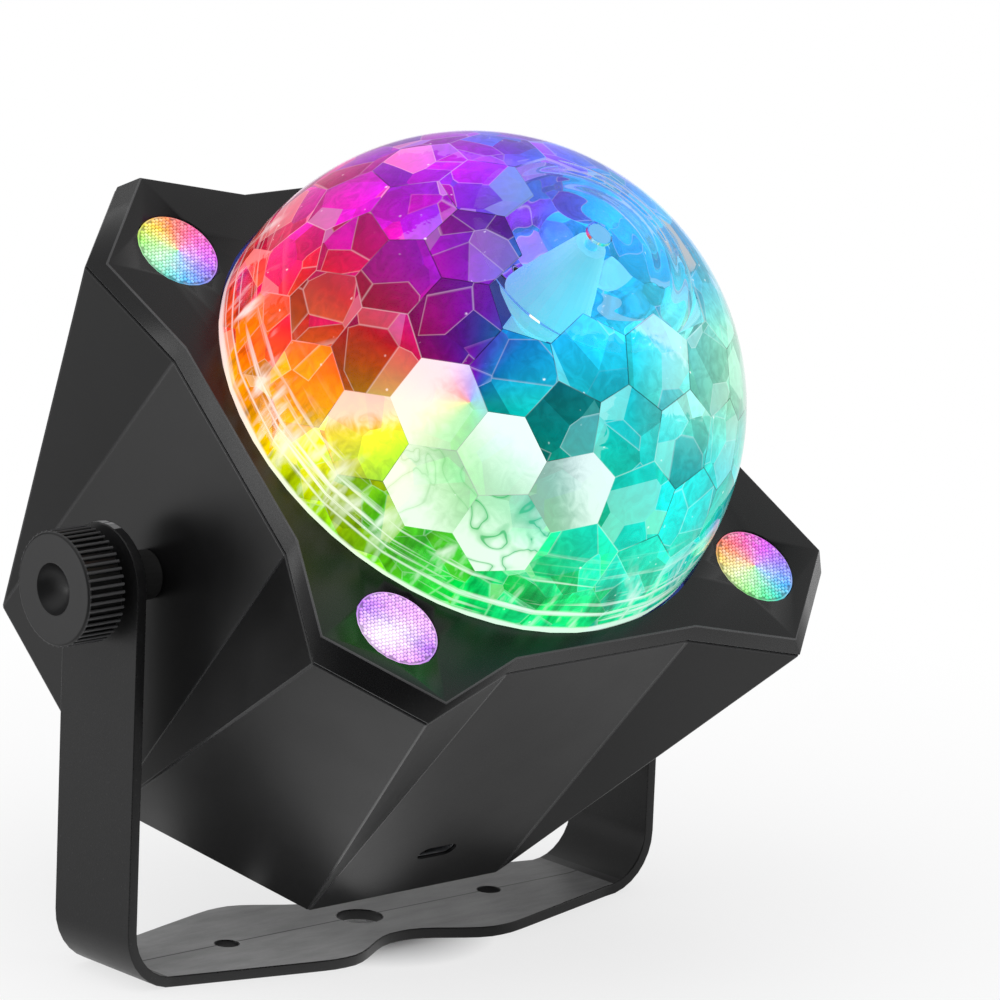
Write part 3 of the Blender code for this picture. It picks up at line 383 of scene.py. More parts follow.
def surfaceMaterial(name, own):
    # Moulded, coated or metal surface: cloudy colour, uneven sheen and a fine grain
    look = {**usualFinish, **own}
    material, net, shader = newMaterial(name)
    place = net.place()
    cloud = net.noise(place, look["cloudScale"], *look["cloudDetail"])
    grain = net.noise(place, look["grainScale"], *look["grainDetail"])
    colour = net.mix(cloud.rise(*look["cloudShare"]), look["dark"], look["light"])
    if look["speck"]:
        colour = net.mix(grain.rise(*look["speck"]), colour, look["speckColour"])
    rough = cloud.spread(*look["roughCloud"], *look["rough"]) + grain.spread(*look["roughGrain"])
    # Painted shade on the cover's slanted band, then a painted highlight on the rounded edges
    if look["edge"]:
        paintedLight, rimShade = net.attribute("edgeHighlight"), net.attribute("rimShade")
        colour = net.mix(rimShade * look["rimShadeShare"], colour, look["rimShaded"])
        colour = net.mix(paintedLight * cloud.spread(*look["edgeHighlightCloud"]), colour, look["edge"])
        rough = rough - net.most(paintedLight, rimShade) * look["edgePolish"]
    if look["dust"]:
        colour = paintTopLight(net, place, colour, look)
    if look["ribs"]:
        colour = paintRibLight(net, place, colour, look["ribs"])
    net.fill(shader, {
        "Base Color": colour, "Roughness": rough, "Metallic": look["metallic"],
        "Specular IOR Level": look["specular"], "Normal": net.bump(grain, look["grainStrength"], look["grainDepth"]),
    })
    # Painted glow: the light of the lamps under the ball painted on as emission
    if look["paintedLight"]:  # a part that the lamps under the ball light up
        net.fill(shader, {"Emission Color": look["paintedLight"], "Emission Strength": look["paintedLightStrength"]})
    if look["coat"]:
        net.fill(shader, {"Coat Weight": look["coat"], "Coat Roughness": look["coatRough"]})
    return material


# In these finishes, edge is the colour of a painted highlight on rounded edges
finishes = {
    "casingPlastic": {
        "dark": (0.0034, 0.0034, 0.0036), "light": (0.006, 0.006, 0.0063), "rough": (0.30, 0.40), "specular": 0.46,
        "grainScale": 3200.0, "grainStrength": 0.22, "cloudScale": 35.0, "edge": (0.03, 0.03, 0.031),
    },
    "coverPlastic": {
        "dark": (0.005, 0.005, 0.0053), "light": (0.008, 0.008, 0.0085), "rough": (0.23, 0.31), "specular": 0.40,
        "grainScale": 3200.0, "grainStrength": 0.20, "cloudScale": 35.0, "edge": (0.085, 0.085, 0.087),
        "edgePolish": 0.0,
    },
    "powderCoat": {
        "dark": (0.006, 0.006, 0.0063), "light": (0.0105, 0.0105, 0.011), "rough": (0.38, 0.50), "specular": 0.44,
        "grainScale": 2400.0, "grainStrength": 0.45, "grainDepth": 0.00007, "cloudScale": 45.0,
        "speck": (0.62, 0.74, 0.12), "edge": (0.008, 0.008, 0.0083), "dust": bracketTopLight,
    },
    "knobPlastic": {
        "dark": (0.0085, 0.0085, 0.009), "light": (0.014, 0.014, 0.0145), "rough": (0.32, 0.42), "specular": 0.46,
        "grainScale": 3600.0, "grainStrength": 0.20, "cloudScale": 120.0, "ribs": knobRibLight,
    },
    # painted light: the hub coloured pale blue and glowing as lit by the lamps under the ball
    "hubPaintedBlueLight": {
        "dark": (0.20, 0.60, 0.70), "light": (0.30, 0.74, 0.84), "rough": (0.22, 0.34),
        "paintedLight": (0.12, 0.70, 1.00), "paintedLightStrength": 0.55,
    },
    # painted light: the lamp board coloured blue and glowing from its lamps
    "boardPaintedBlueLight": {
        "dark": (0.10, 0.30, 0.62), "light": (0.16, 0.40, 0.74), "rough": (0.28, 0.40), "grainScale": 1200.0,
        "paintedLight": (0.08, 0.36, 1.00), "paintedLightStrength": 0.50,
    },
    # painted light: the inner tray coloured violet and glowing from the lamps
    "trayPaintedVioletLight": {
        "dark": (0.04, 0.03, 0.16), "light": (0.07, 0.05, 0.24), "rough": (0.45, 0.58),
        "paintedLight": (0.05, 0.10, 0.50), "paintedLightStrength": 0.30,
    },
    # painted light: the pole screw's steel coloured blue and glowing from the lamps under the ball
    "steelPaintedBlueLight": {
        "dark": (0.16, 0.42, 0.72), "light": (0.28, 0.60, 0.90), "rough": (0.22, 0.36), **metal,
        "paintedLight": (0.10, 0.48, 0.90), "paintedLightStrength": 0.50,
    },
    "zincSteel": {"dark": (0.40, 0.41, 0.43), "light": (0.62, 0.63, 0.65), "rough": (0.24, 0.42), **metal},
    "castBrass": {"dark": (0.52, 0.36, 0.13), "light": (0.80, 0.60, 0.27), "rough": (0.24, 0.40), **metal},
    "rubber": {
        "dark": (0.012, 0.012, 0.012), "light": (0.026, 0.026, 0.026), "rough": (0.72, 0.90), "specular": 0.3,
        "grainScale": 1800.0, "grainStrength": 0.6, "grainDepth": 0.0001,
    },
    "whitePlastic": {"dark": (0.74, 0.75, 0.78), "light": (0.88, 0.89, 0.92), "rough": (0.26, 0.38)},
    "chipResin": {
        "dark": (0.03, 0.03, 0.032), "light": (0.065, 0.065, 0.068), "rough": (0.45, 0.60), "grainScale": 4200.0,
        "speck": (0.62, 0.74, 0.25),
    },
    "greenBoard": {
        "dark": (0.01, 0.085, 0.03), "light": (0.03, 0.18, 0.07), "rough": (0.26, 0.40), "grainScale": 900.0,
        "speck": (0.62, 0.74, 0.5), "speckColour": (0.45, 0.34, 0.12), "coat": 0.4,
    },
    "whiteBoard": {
        "dark": (0.72, 0.73, 0.74), "light": (0.88, 0.88, 0.88), "rough": (0.26, 0.40), "grainScale": 1200.0,
        "speck": (0.62, 0.74, 0.35), "speckColour": (0.55, 0.55, 0.50), "coat": 0.3,
    },
    "leadSheath": {
        "dark": (0.38, 0.02, 0.015), "light": (0.55, 0.04, 0.03), "rough": (0.40, 0.55), "grainScale": 2000.0,
    },
}
materials = {name: surfaceMaterial(name, look) for name, look in finishes.items()}

led = {
    "colour": (0.98, 0.82, 0.42), "middle": (1.0, 0.98, 0.92), "cellScale": 900.0, "cellShare": (0.0, 0.6),
    "glow": 0.9, "rough": 0.18,
}


def ledMaterial():
    # A small phosphor lamp: brighter in the middle cells, with a clear dome's gloss
    material, net, shader = newMaterial("ledPhosphor")
    cells = net.cells(net.place(), led["cellScale"], "Distance")
    tint = net.mix(cells.rise(*led["cellShare"]), led["colour"], led["middle"])
    net.fill(shader, {
        "Base Color": tint, "Emission Color": tint, "Emission Strength": led["glow"], "Roughness": led["rough"],
    })
    return material


materials["ledPhosphor"] = ledMaterial()
print("finishes made:", len(materials))

ball = {
    "radius": 0.0536, "skirtDepth": 0.007, "skirtBore": 0.05, "segments": 144, "rings": 40,
    "poleSeatRadius": 0.0027, "poleSeatDepth": 0.0012, "poleHoleRadius": 0.0014, "poleSegments": 48,
    "cavityDistance": 0.05, "facetDistance": 0.051, "glowWall": 0.0005, "facetSplits": 3,
    "facetTurn": (24.1, 37.7, -84.3), "borderShare": 0.984, "windowAngle": 25.0, "glowBottom": -0.0058,
    "capRadius": 0.0514, "capWave": 0.00006, "capWaves": 3.4, "capSteps": 60, "capCrowd": 1.4,
    "capOverlap": 0.03, "capInner": 0.9, "past": 0.002,
    "weld": 0.000002, "cutterWeld": 0.000001, "capWithin": 0.0004, "capAbove": 0.04, "outerWithin": 0.0005,
    "sharpFrom": 28,
}


def facetTree(distance, borderShare, windowHeight):
    # Six-sided flats all as far from the centre, each with a narrow border of its own
    net, given = geometryNet("facetBall", {
        "Distance": distance, "Splits": ball["facetSplits"], "Border Share": borderShare,
        "Turn": Euler(math.radians(angle) for angle in ball["facetTurn"]), "Window Height": windowHeight,
    })
    sphere = net.out("MeshIcoSphere", {"Radius": 1.0, "Subdivisions": given["Splits"]})
    normal = net.out("InputNormal")
    reach = net.vector("DOT_PRODUCT", net.out("InputPosition"), normal)
    meeting = net.vector("SCALE", normal, given["Distance"] / reach)
    dual = net.out("DualMesh", {0: net.stored(sphere, "meetingPoint", meeting)})
    moved = net.out("SetPosition", {"Geometry": dual, "Position": net.named("meetingPoint")})
    turned = net.out("Transform", {"Geometry": moved, "Rotation": given["Turn"]})
    facing = net.vector("SCALE", net.out("InputNormal"), given["Distance"])
    raised = net.outs("ExtrudeMesh", {
        "Mesh": net.stored(turned, "facetCentre", facing), "Offset Scale": 0.0, "Individual": True,
    }, mode="FACES")
    shrunk = net.out("ScaleElements", {
        "Geometry": raised["Mesh"], "Selection": raised["Top"], "Scale": given["Border Share"],
    })
    high = net.calc("GREATER_THAN", net.named("facetCentre").axis("Z"), given["Window Height"])
    bordered = net.stored(shrunk, "facetBorder", raised["Side"], "FLOAT")
    opened = net.out("DeleteGeometry", {"Geometry": bordered, "Selection": high}, domain="FACE")
    return net.finished(net.out("MergeByDistance", {"Geometry": opened, "Distance": ball["weld"]}), given)


# The light's colours round the ball by share of a turn, anticlockwise from the right of the main view
wheel = {
    "stops": [
        (0.000, (0.01, 0.66, 0.70)), (0.055, (0.01, 0.64, 0.92)), (0.110, (0.01, 0.52, 1.00)),
        (0.160, (0.01, 0.36, 1.00)), (0.210, (0.09, 0.13, 1.00)), (0.250, (0.28, 0.02, 0.92)),
        (0.290, (0.52, 0.00, 0.76)), (0.330, (0.82, 0.00, 0.52)), (0.385, (0.90, 0.00, 0.16)),
        (0.425, (0.96, 0.01, 0.02)), (0.465, (1.00, 0.13, 0.00)), (0.510, (1.00, 0.38, 0.00)),
        (0.547, (1.00, 0.80, 0.00)), (0.590, (0.60, 0.84, 0.00)), (0.670, (0.12, 0.74, 0.01)),
        (0.760, (0.00, 0.70, 0.06)), (0.830, (0.01, 0.80, 0.26)), (0.880, (0.01, 0.76, 0.48)),
        (0.950, (0.00, 0.70, 0.64)), (1.000, (0.01, 0.66, 0.70)),
    ],
    # the right edge is greener, from here outwards and between these heights
    "sunny": (0.30, 0.74, 0.44), "sunnyFrom": (0.03, 0.048, 0.85),
    "sunnyLow": (-0.011, 0.002), "sunnyHigh": (0.016, 0.03),
}


def wheelSetting():
    # Turn and shift that bring the ball's centre to zero and the way to the camera onto Z
    right = Vector((0, 0, 1)).cross(cameraSide).normalized()
    turn = Matrix((right, cameraSide.cross(right), cameraSide))
    return turn.to_euler(), -(turn @ domePlace.translation), turn


wheelTurn, wheelShift, wheelMatrix = wheelSetting()


def wheelColour(net, place, jitter):
    # The light's colour at a place, from the angle round a fixed line through the ball's centre
    turned = net.mapped(place, wheelShift, wheelTurn)
    x, y = turned.axis("X"), turned.axis("Y")
    colour = net.ramp(net.calc("FRACT", turned.angle() / (2 * math.pi) + 1.0 + jitter), wheel["stops"])
    level = y.rise(*wheel["sunnyLow"]) * y.fall(*wheel["sunnyHigh"])
    return net.mix(x.rise(*wheel["sunnyFrom"]) * level, colour, wheel["sunny"])


footTurn = domePlace.inverted().to_euler()
footShift = domePlace.inverted().translation + Vector((0, 0, head["domeRise"]))

glow = {
    "strength": 1.2, "specular": 0.05, "rough": 0.3,
    # the broken picture in each flat, and how light its pieces are
    "jump": 9.7, "shardScale": 115.0, "fine": (300.0, 3.0, 0.5, 1.6), "jitter": 0.06,
    "shardLevel": (0.0, 1.0, 0.66, 1.26), "slopeLevel": (-1.0, 1.0, 0.70, 1.25),
    "fineLevel": (0.35, 0.65, 0.86, 1.14),
    # streaks, rays and rims at the foot, with heights over the top face in metres
    "streakScale": (26.0, 26.0, 620.0), "streakNoise": (1.0, 3.0, 0.5, 0.5), "streak": (0.54, 0.66, 0.85),
    "streakReach": (0.006, 0.02), "raysRound": 12.0, "raysUp": 60.0, "rayNoise": (1.0, 3.0, 0.55, 0.3),
    "ray": (0.54, 0.70, 0.85), "rayDark": (0.34, 0.50, 0.55), "rayReach": (0.007, 0.019), "quietFoot": 0.75,
    "rimLow": (-0.0012, -0.0006, 0.85), "rimFrom": (0.0024, 0.0027), "rimTo": (0.0029, 0.0032, 0.65),
    "covered": (-0.0032, -0.0026), "outside": (0.0, 0.01),
    # edges of the flats, then what turns pale
    "edgeNoise": (42.0, 1.0), "edgeDark": (0.47, 0.55, 0.62), "edgeLight": (0.47, 0.58, 0.25),
    "paleLeast": 0.62, "palePower": 4.0, "paleBegin": 0.95, "paleEarlier": 1.5, "paleEnd": 0.98, "paleFine": 0.8,
    "paleGain": 1.03, "paleTint": 0.24, "sliver": (0.86, 0.88), "sliverShare": (0.3, 0.8, 0.20, 0.45),
    "sliverTint": 0.70, "seam": (0.0, 0.03, 0.28), "seamWhere": (0.62, 0.72),
    "sparkScale": 330.0, "spark": (0.05, 0.13, 0.9), "sparkWhere": (0.54, 0.60),
    # curved dark lines over the cracked flats
    "crack": (78.0, 1.5, 0.5, 1.3), "crackLine": (0.004, 0.018, 0.85), "crackSoft": (0.0, 0.07, 0.45),
    "crackColour": (0.02, 0.16, 0.08), "crackTint": 0.55,
}
white, black = (1.0, 1.0, 1.0), (0.0, 0.0, 0.0)


def footLight(net, place):
    # Near the foot of the ball the light runs in thin streaks along the rim and in rays up from it
    own = net.mapped(place, footShift, footTurn)
    height = own.axis("Z")
    streaks = net.noise(net.vector("MULTIPLY", own, glow["streakScale"]), *glow["streakNoise"])
    streak = streaks.rise(*glow["streak"]) * height.fall(*glow["streakReach"], smooth=True)
    rays = net.noise(net.joined(own.angle() * glow["raysRound"], height * glow["raysUp"]), *glow["rayNoise"])
    foot = height.fall(*glow["rayReach"], smooth=True)
    rim = net.most(height.fall(*glow["rimLow"]), height.rise(*glow["rimFrom"]) * height.fall(*glow["rimTo"]))
    light = net.most(streak, rays.rise(*glow["ray"]) * foot, rim)
    return height, foot, foot * rays.fall(*glow["rayDark"]), light


def glowMaterial():
    # Light in the facets: each flat shows its own piece of a broken picture
    material, net, shader = newMaterial("facetLight")
    place = net.place()
    centre, lean = net.attribute("facetCentre", "Vector"), net.attribute("facetLean", "Vector")
    tone, bleach = net.attribute("facetTone"), net.attribute("facetBleach")
    inside = net.vector("SUBTRACT", place, centre)
    slope = net.vector("DOT_PRODUCT", inside, lean)  # -1 to 1 across a flat
    jump = net.vector("ADD", inside, net.vector("SCALE", centre, glow["jump"]))
    shard = net.outs("SeparateColor", {0: net.cells(jump, glow["shardScale"], "Color")})
    fine = net.noise(jump, *glow["fine"])
    colour = wheelColour(net, place, (shard["Green"] - 0.5) * glow["jitter"])
    height, foot, dark, streak = footLight(net, place)

    # some edges between the flats catch the light and the others are dark
    border = net.attribute("facetBorder") * (1.0 - foot * glow["quietFoot"])
    caught = net.noise(place, *glow["edgeNoise"])
    darkEdge, lightEdge = border * caught.fall(*glow["edgeDark"]), border * caught.rise(*glow["edgeLight"])
    level = tone * shard["Red"].spread(*glow["shardLevel"]) * slope.spread(*glow["slopeLevel"])
    level *= fine.spread(*glow["fineLevel"]) * (1.0 - dark) * (1.0 - darkEdge)
    lit = net.dimmed(colour, level)

    # a pale flat is pale all over, a less pale one only on its pale side
    begin = glow["paleBegin"] - bleach * bleach * glow["paleEarlier"]
    least = net.calc("POWER", bleach, glow["palePower"]) * glow["paleLeast"]
    across = (slope + fine * glow["paleFine"]).spread(begin, glow["paleEnd"], least, 1.0, True)
    flare = net.calc("MULTIPLY", bleach * glow["paleGain"], across, clamp=True)
    sliver = shard["Blue"].rise(*glow["sliver"]) * tone.spread(*glow["sliverShare"])
    seams = net.cells(jump, glow["shardScale"], "Distance", feature="DISTANCE_TO_EDGE")
    seam = seams.fall(*glow["seam"]) * shard["Green"].rise(*glow["seamWhere"])
    sparks = net.cells(place, glow["sparkScale"], "Distance")
    spark = sparks.fall(*glow["spark"]) * fine.rise(*glow["sparkWhere"])
    outward = net.vector("DOT_PRODUCT", net.faceWay(), net.vector("SUBTRACT", place, domePlace.translation))
    outer = outward.rise(*glow["outside"])  # the streaks and the dark foot aren't on the inner side
    pale = net.most(flare, seam, streak * outer, spark, lightEdge)
    lit = net.mix(sliver, lit, net.mix(glow["sliverTint"], white, colour))
    lit = net.mix(pale, lit, net.mix(glow["paleTint"], white, colour))

    near = net.calc("ABSOLUTE", net.noise(jump, *glow["crack"]) - 0.5)
    line = net.most(near.fall(*glow["crackLine"]), near.fall(*glow["crackSoft"], True))
    crack = net.attribute("facetCrack") * line
    lit = net.mix(crack, lit, net.mix(glow["crackTint"], colour, glow["crackColour"]))
    lit = net.mix(outer * height.fall(*glow["covered"]), lit, black)  # dark where the cover stands round it
    net.fill(shader, {
        "Emission Color": lit, "Emission Strength": glow["strength"], "Base Color": black,
        "Specular IOR Level": glow["specular"], "Roughness": glow["rough"],
    })
    return material


crystal = {
    "colour": (0.985, 0.992, 1.0), "rough": 0.015, "bend": 1.26,
    "waves": (55.0, 1.0), "waveStrength": 0.1, "waveDepth": 0.0002,
}


def crystalMaterial():
    # Clear acrylic: water-clear, with faint waves in the moulding
    material, net, shader = newMaterial("clearAcrylic")
    waves = net.bump(net.noise(net.place(), *crystal["waves"]), crystal["waveStrength"], crystal["waveDepth"])
    net.fill(shader, {
        "Normal": waves, "Base Color": crystal["colour"], "Roughness": crystal["rough"], "IOR": crystal["bend"],
        "Transmission Weight": 1.0,
    })
    return material


# Flats with a look of their own: pixel in a 1000 pixel frame, tone, paleness, way of the pale side in degrees
ownFlats = [
    (377, 417, 1.00, 0.58, 95), (451, 396, 1.00, 0.92, 150), (513, 440, 1.00, 0.97, 60), (445, 475, 1.00, 0.93, 200),
    (520, 512, 1.00, 0.90, 250), (580, 465, 0.36, 0.86, 10), (568, 398, 0.30, 0.00, 0), (513, 370, 0.60, 0.00, 0),
    (618, 410, 0.85, 0.15, 170), (666, 407, 0.85, 0.10, 180), (470, 331, 0.30, 0.00, 0), (402, 345, 0.42, 0.00, 40),
    (366, 285, 0.55, 0.00, 300), (436, 289, 0.50, 0.00, 30), (418, 240, 0.46, 0.00, 0), (422, 195, 0.80, 0.10, 310),
    (480, 183, 0.75, 0.00, 100), (473, 215, 0.44, 0.00, 250), (325, 348, 1.20, 0.00, 80), (600, 354, 0.95, 0.05, 90),
    (639, 357, 0.95, 0.10, 90), (643, 464, 0.80, 0.00, 0), (686, 380, 1.10, 0.40, 100), (662, 345, 1.05, 0.40, 60),
    (535, 293, 1.00, 0.60, 60), (565, 345, 1.00, 0.60, 270), (260, 400, 1.10, 0.15, 220), (300, 300, 1.15, 0.05, 120),
    (300, 462, 1.15, 0.03, 100), (250, 302, 1.20, 0.24, 130), (380, 160, 1.05, 0.25, 90), (440, 150, 1.00, 0.10, 90),
    (690, 440, 0.95, 0.20, 90),
]
crackedFlats = {(520, 512): 1.0, (445, 475): 0.40}  # dark curved lines run over these pale flats

# Where the ball stands in that frame, and how the other flats come out: by chance, brighter at the foot and right
flats = {
    "middle": (480.0, 385.0), "reach": 264.0, "within": 8.4, "half": 0.0082,
    "leastTone": 0.38, "toneSpan": 0.62, "footTone": 0.40, "footFrom": -0.004, "footHigh": 0.016,
    "brightTone": 1.06, "brightShare": 0.70, "brightFrom": 0.45, "paleMost": 0.30, "paleChance": 0.12,
}


def clipped(value):
    return min(1.0, max(0.0, value))


def spotDirection(x, y):
    # From a pixel to the way out of the ball's centre that the camera sees there
    across, above = (x - flats["middle"][0]) / flats["reach"], (flats["middle"][1] - y) / flats["reach"]
    depth = math.sqrt(max(0.0, 1 - across * across - above * above))
    return (wheelMatrix.transposed() @ Vector((across, above, depth))).normalized()


def flatLook(local, own):
    # Lean, tone, paleness and cracks of the flat with this middle; a flat and its border draw the same numbers
    draw = random.Random(sum(round(value * 1e4) * weight for value, weight in zip(local, (1, 1009, 917003))))
    out = (domePlace.to_3x3() @ local).normalized()
    aside = out.cross(Vector((draw.uniform(-1, 1), draw.uniform(-1, 1), draw.uniform(-1, 1)))).normalized()
    foot = 1 - clipped((local.z - flats["footFrom"]) / flats["footHigh"])
    tone = flats["leastTone"] + flats["toneSpan"] * draw.random() + flats["footTone"] * foot
    right = clipped((wheelMatrix @ out).x / flats["brightFrom"])
    tone += max(0.0, flats["brightTone"] - tone) * flats["brightShare"] * right
    chance = max(0.0, draw.random() - (1 - flats["paleChance"]))
    bleach, crack = flats["paleMost"] * chance / flats["paleChance"], 0.0
    nearest = min(own, key=lambda spot: out.angle(spot[0]))
    if math.degrees(out.angle(nearest[0])) < flats["within"]:
        tone, bleach, way, crack = nearest[1:]
        aside = wheelMatrix.transposed() @ Vector((math.cos(way), math.sin(way), 0))
        aside = (aside - out * aside.dot(out)).normalized()
    return aside / flats["half"], tone, bleach, crack


def makeGlow():
    distance = ball["facetDistance"]
    windowHeight = distance * math.cos(math.radians(ball["windowAngle"]))
    tree = facetTree(distance, ball["borderShare"], windowHeight)
    piece = runTree(tree, "facetGlow", {"Material": glowMaterial()})
    bm = bmesh.new()
    bm.from_mesh(piece.data)
    bmesh.ops.bisect_plane(
        bm, geom=bm.verts[:] + bm.edges[:] + bm.faces[:], plane_co=(0, 0, ball["glowBottom"] - head["domeRise"]),
        plane_no=(0, 0, -1), clear_outer=True,
    )
    centre, lean = bm.faces.layers.float_vector["facetCentre"], bm.faces.layers.float_vector.new("facetLean")
    tone, bleach, crack = (bm.faces.layers.float.new(name) for name in ("facetTone", "facetBleach", "facetCrack"))
    own = [
        (spotDirection(x, y), light, pale, math.radians(way), crackedFlats.get((x, y), 0.0))
        for x, y, light, pale, way in ownFlats
    ]
    for face in bm.faces:
        local = face[centre]
        face[lean], face[tone], face[bleach], face[crack] = flatLook(local, own)
        face[centre] = domePlace @ local
    bmesh.ops.transform(bm, matrix=domePlace, verts=bm.verts)
    bm.to_mesh(piece.data)
    bm.free()
    thick = piece.modifiers.new("wall", "SOLIDIFY")
    thick.thickness, thick.offset = ball["glowWall"], -1
    return evaluated(piece)


def makeFlatsCutter():
    piece = runTree(facetTree(ball["cavityDistance"], 1.0, 2.0), "flatsCutter", {})
    bm = bmesh.new()
    bm.from_mesh(piece.data)
    bmesh.ops.remove_doubles(bm, verts=bm.verts, dist=ball["cutterWeld"])
    bmesh.ops.dissolve_degenerate(bm, edges=bm.edges, dist=ball["cutterWeld"])
    bmesh.ops.recalc_face_normals(bm, faces=bm.faces)
    bm.to_mesh(piece.data)
    bm.free()
    return piece


def makeCapCutter():
    # The clear window round the pole, with faint ripples
    window = math.radians(ball["windowAngle"]) + ball["capOverlap"]
    rippled = []
    for i in range(ball["capSteps"] + 1):
        share = i / ball["capSteps"]
        wave = math.sin(2 * math.pi * ball["capWaves"] * share ** ball["capCrowd"])
        reach = ball["capRadius"] + ball["capWave"] * wave
        rippled.append((reach * math.sin(window * share), reach * math.cos(window * share)))
    inner = ball["capInner"] * rippled[-1][0], ball["capInner"] * rippled[-1][1]
    return turnedPiece("capCutter", rippled + [inner, (0, inner[1])], ball["segments"])


def makeSeatCutter():
    # The pole screw's hole and the seat for its head
    hole, wide, past = ball["poleHoleRadius"], ball["poleSeatRadius"], ball["past"]
    low, high, foot = ball["cavityDistance"] - past, ball["radius"] + past, ball["radius"] - ball["poleSeatDepth"]
    outline = [(0, low), (hole, low), (hole, foot), (wide, foot), (wide, high), (0, high)]
    return turnedPiece("seatCutter", outline, ball["poleSegments"])


def makeCrystal():
    # A thick clear half ball: flats cut inside, a bore up the skirt, a rippled cap and a seat for the pole screw
    segments, past, pole = ball["segments"], ball["past"], ball["radius"]
    bottom, wide = -ball["skirtDepth"], ball["skirtBore"]
    bore = turnedPiece("boreCutter", [(0, bottom - past), (wide, bottom - past), (wide, past), (0, past)], segments)
    outside = arcPoints((0, 0), pole, math.pi / 2, 0, ball["rings"])
    shell = turnedPiece("crystalBall", [(0, pole)] + outside[1:] + [(pole, bottom), (0, bottom)], segments)
    cutWith(shell, [makeFlatsCutter(), bore, makeCapCutter(), makeSeatCutter()])
    for polygon in shell.data.polygons:
        middle = polygon.center
        away = middle.length if middle.z > 0 else middle.to_2d().length
        inCap = abs(middle.length - ball["capRadius"]) < ball["capWithin"] and middle.z > ball["capAbove"]
        outer = away > pole - ball["outerWithin"] and abs(polygon.normal.dot(middle.normalized())) > 0.5
        polygon.use_smooth = inCap or outer
    shell.data.set_sharp_from_angle(angle=math.radians(ball["sharpFrom"]))
    shell.data.transform(domePlace)
    shell.data.materials.clear()
    shell.data.materials.append(crystalMaterial())
    return shell


glowPiece = makeGlow()
crystalPiece = makeCrystal()
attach(glowPiece, "dome")
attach(crystalPiece, "dome")
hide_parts("crystal_dome")
print("ball:", len(glowPiece.data.polygons), "light faces,", len(crystalPiece.data.polygons), "crystal faces")

lens = {
    "radius": 0.0085, "plate": 0.0012, "pitch": 0.00088, "bead": 0.00046, "rise": 0.00034, "place": 0.04589,
    "rows": 23, "beadSegments": 8, "beadRings": 6, "plateSegments": 64,
}


def lensTree():
    # A round plate under rows of small beads, each row half a step along from the last
    net, given = geometryNet("beadedLens", {
        "Radius": lens["radius"], "Pitch": lens["pitch"], "Bead Radius": lens["bead"], "Bead Rise": lens["rise"],
        "Plate": lens["plate"],
    })
    radius, pitch, beadRadius, rows = given["Radius"], given["Pitch"], given["Bead Radius"], lens["rows"]
    rowPitch = pitch * (math.sqrt(3) / 2)
    grid = net.out("MeshGrid", {
        "Size X": pitch * (rows - 1), "Size Y": rowPitch * (rows - 1), "Vertices X": rows, "Vertices Y": rows,
    })
    place = net.out("InputPosition")
    row = net.calc("ROUND", place.axis("Y") / rowPitch)
    odd = net.calc("FLOORED_MODULO", row, 2.0) * (pitch * 0.5)
    moved = net.out("SetPosition", {"Geometry": grid, "Offset": net.joined(odd)})
    far = net.calc("GREATER_THAN", net.length(place), radius - beadRadius)
    kept = net.out("DeleteGeometry", {"Geometry": moved, "Selection": far}, domain="POINT")
    bead = net.out("MeshUVSphere", {
        "Segments": lens["beadSegments"], "Rings": lens["beadRings"], "Radius": beadRadius,
    })
    squat = net.out("Transform", {"Geometry": bead, "Scale": net.joined(1.0, 1.0, given["Bead Rise"] / beadRadius)})
    beads = net.smoothRepeats(net.out("MeshToPoints", {"Mesh": kept}), squat)
    disc = net.out("MeshCylinder", {"Vertices": lens["plateSegments"], "Radius": radius, "Depth": given["Plate"]})
    plate = net.out("Transform", {"Geometry": disc, "Translation": net.joined(z=given["Plate"] * -0.5)})
    lensPlace = net.vector("SCALE", net.out("InputPosition"), net.calc("DIVIDE", 1.0, radius))
    both = net.stored(net.bothOf(plate, beads), "lensPlace", lensPlace, domain="POINT")
    return net.finished(both, given)


# The hot spot stands off the middle and is drawn out one way; sizes are shares of the lens's radius
lensLight = {
    "hotPlace": (0.30, 0.02, 0.0), "hotTurn": -24.0, "hotScale": (0.72, 1.15, 1.0), "hotEnds": (0.05, 0.95),
    "rimWhite": 0.04, "white": (1.0, 0.95, 1.0), "patchNoise": (7.0, 3.0), "patch": (0.45, 0.70, 0.25),
    "spotScale": 13.0, "spotSpread": 0.9, "spotLevel": (0.0, 1.0, 0.78, 1.22), "crestLevel": (0.16, 1.22),
    "edge": (0.955, 0.985, 0.85), "whiteLevel": 0.72, "unlitShare": 0.6, "rough": 0.16,
}


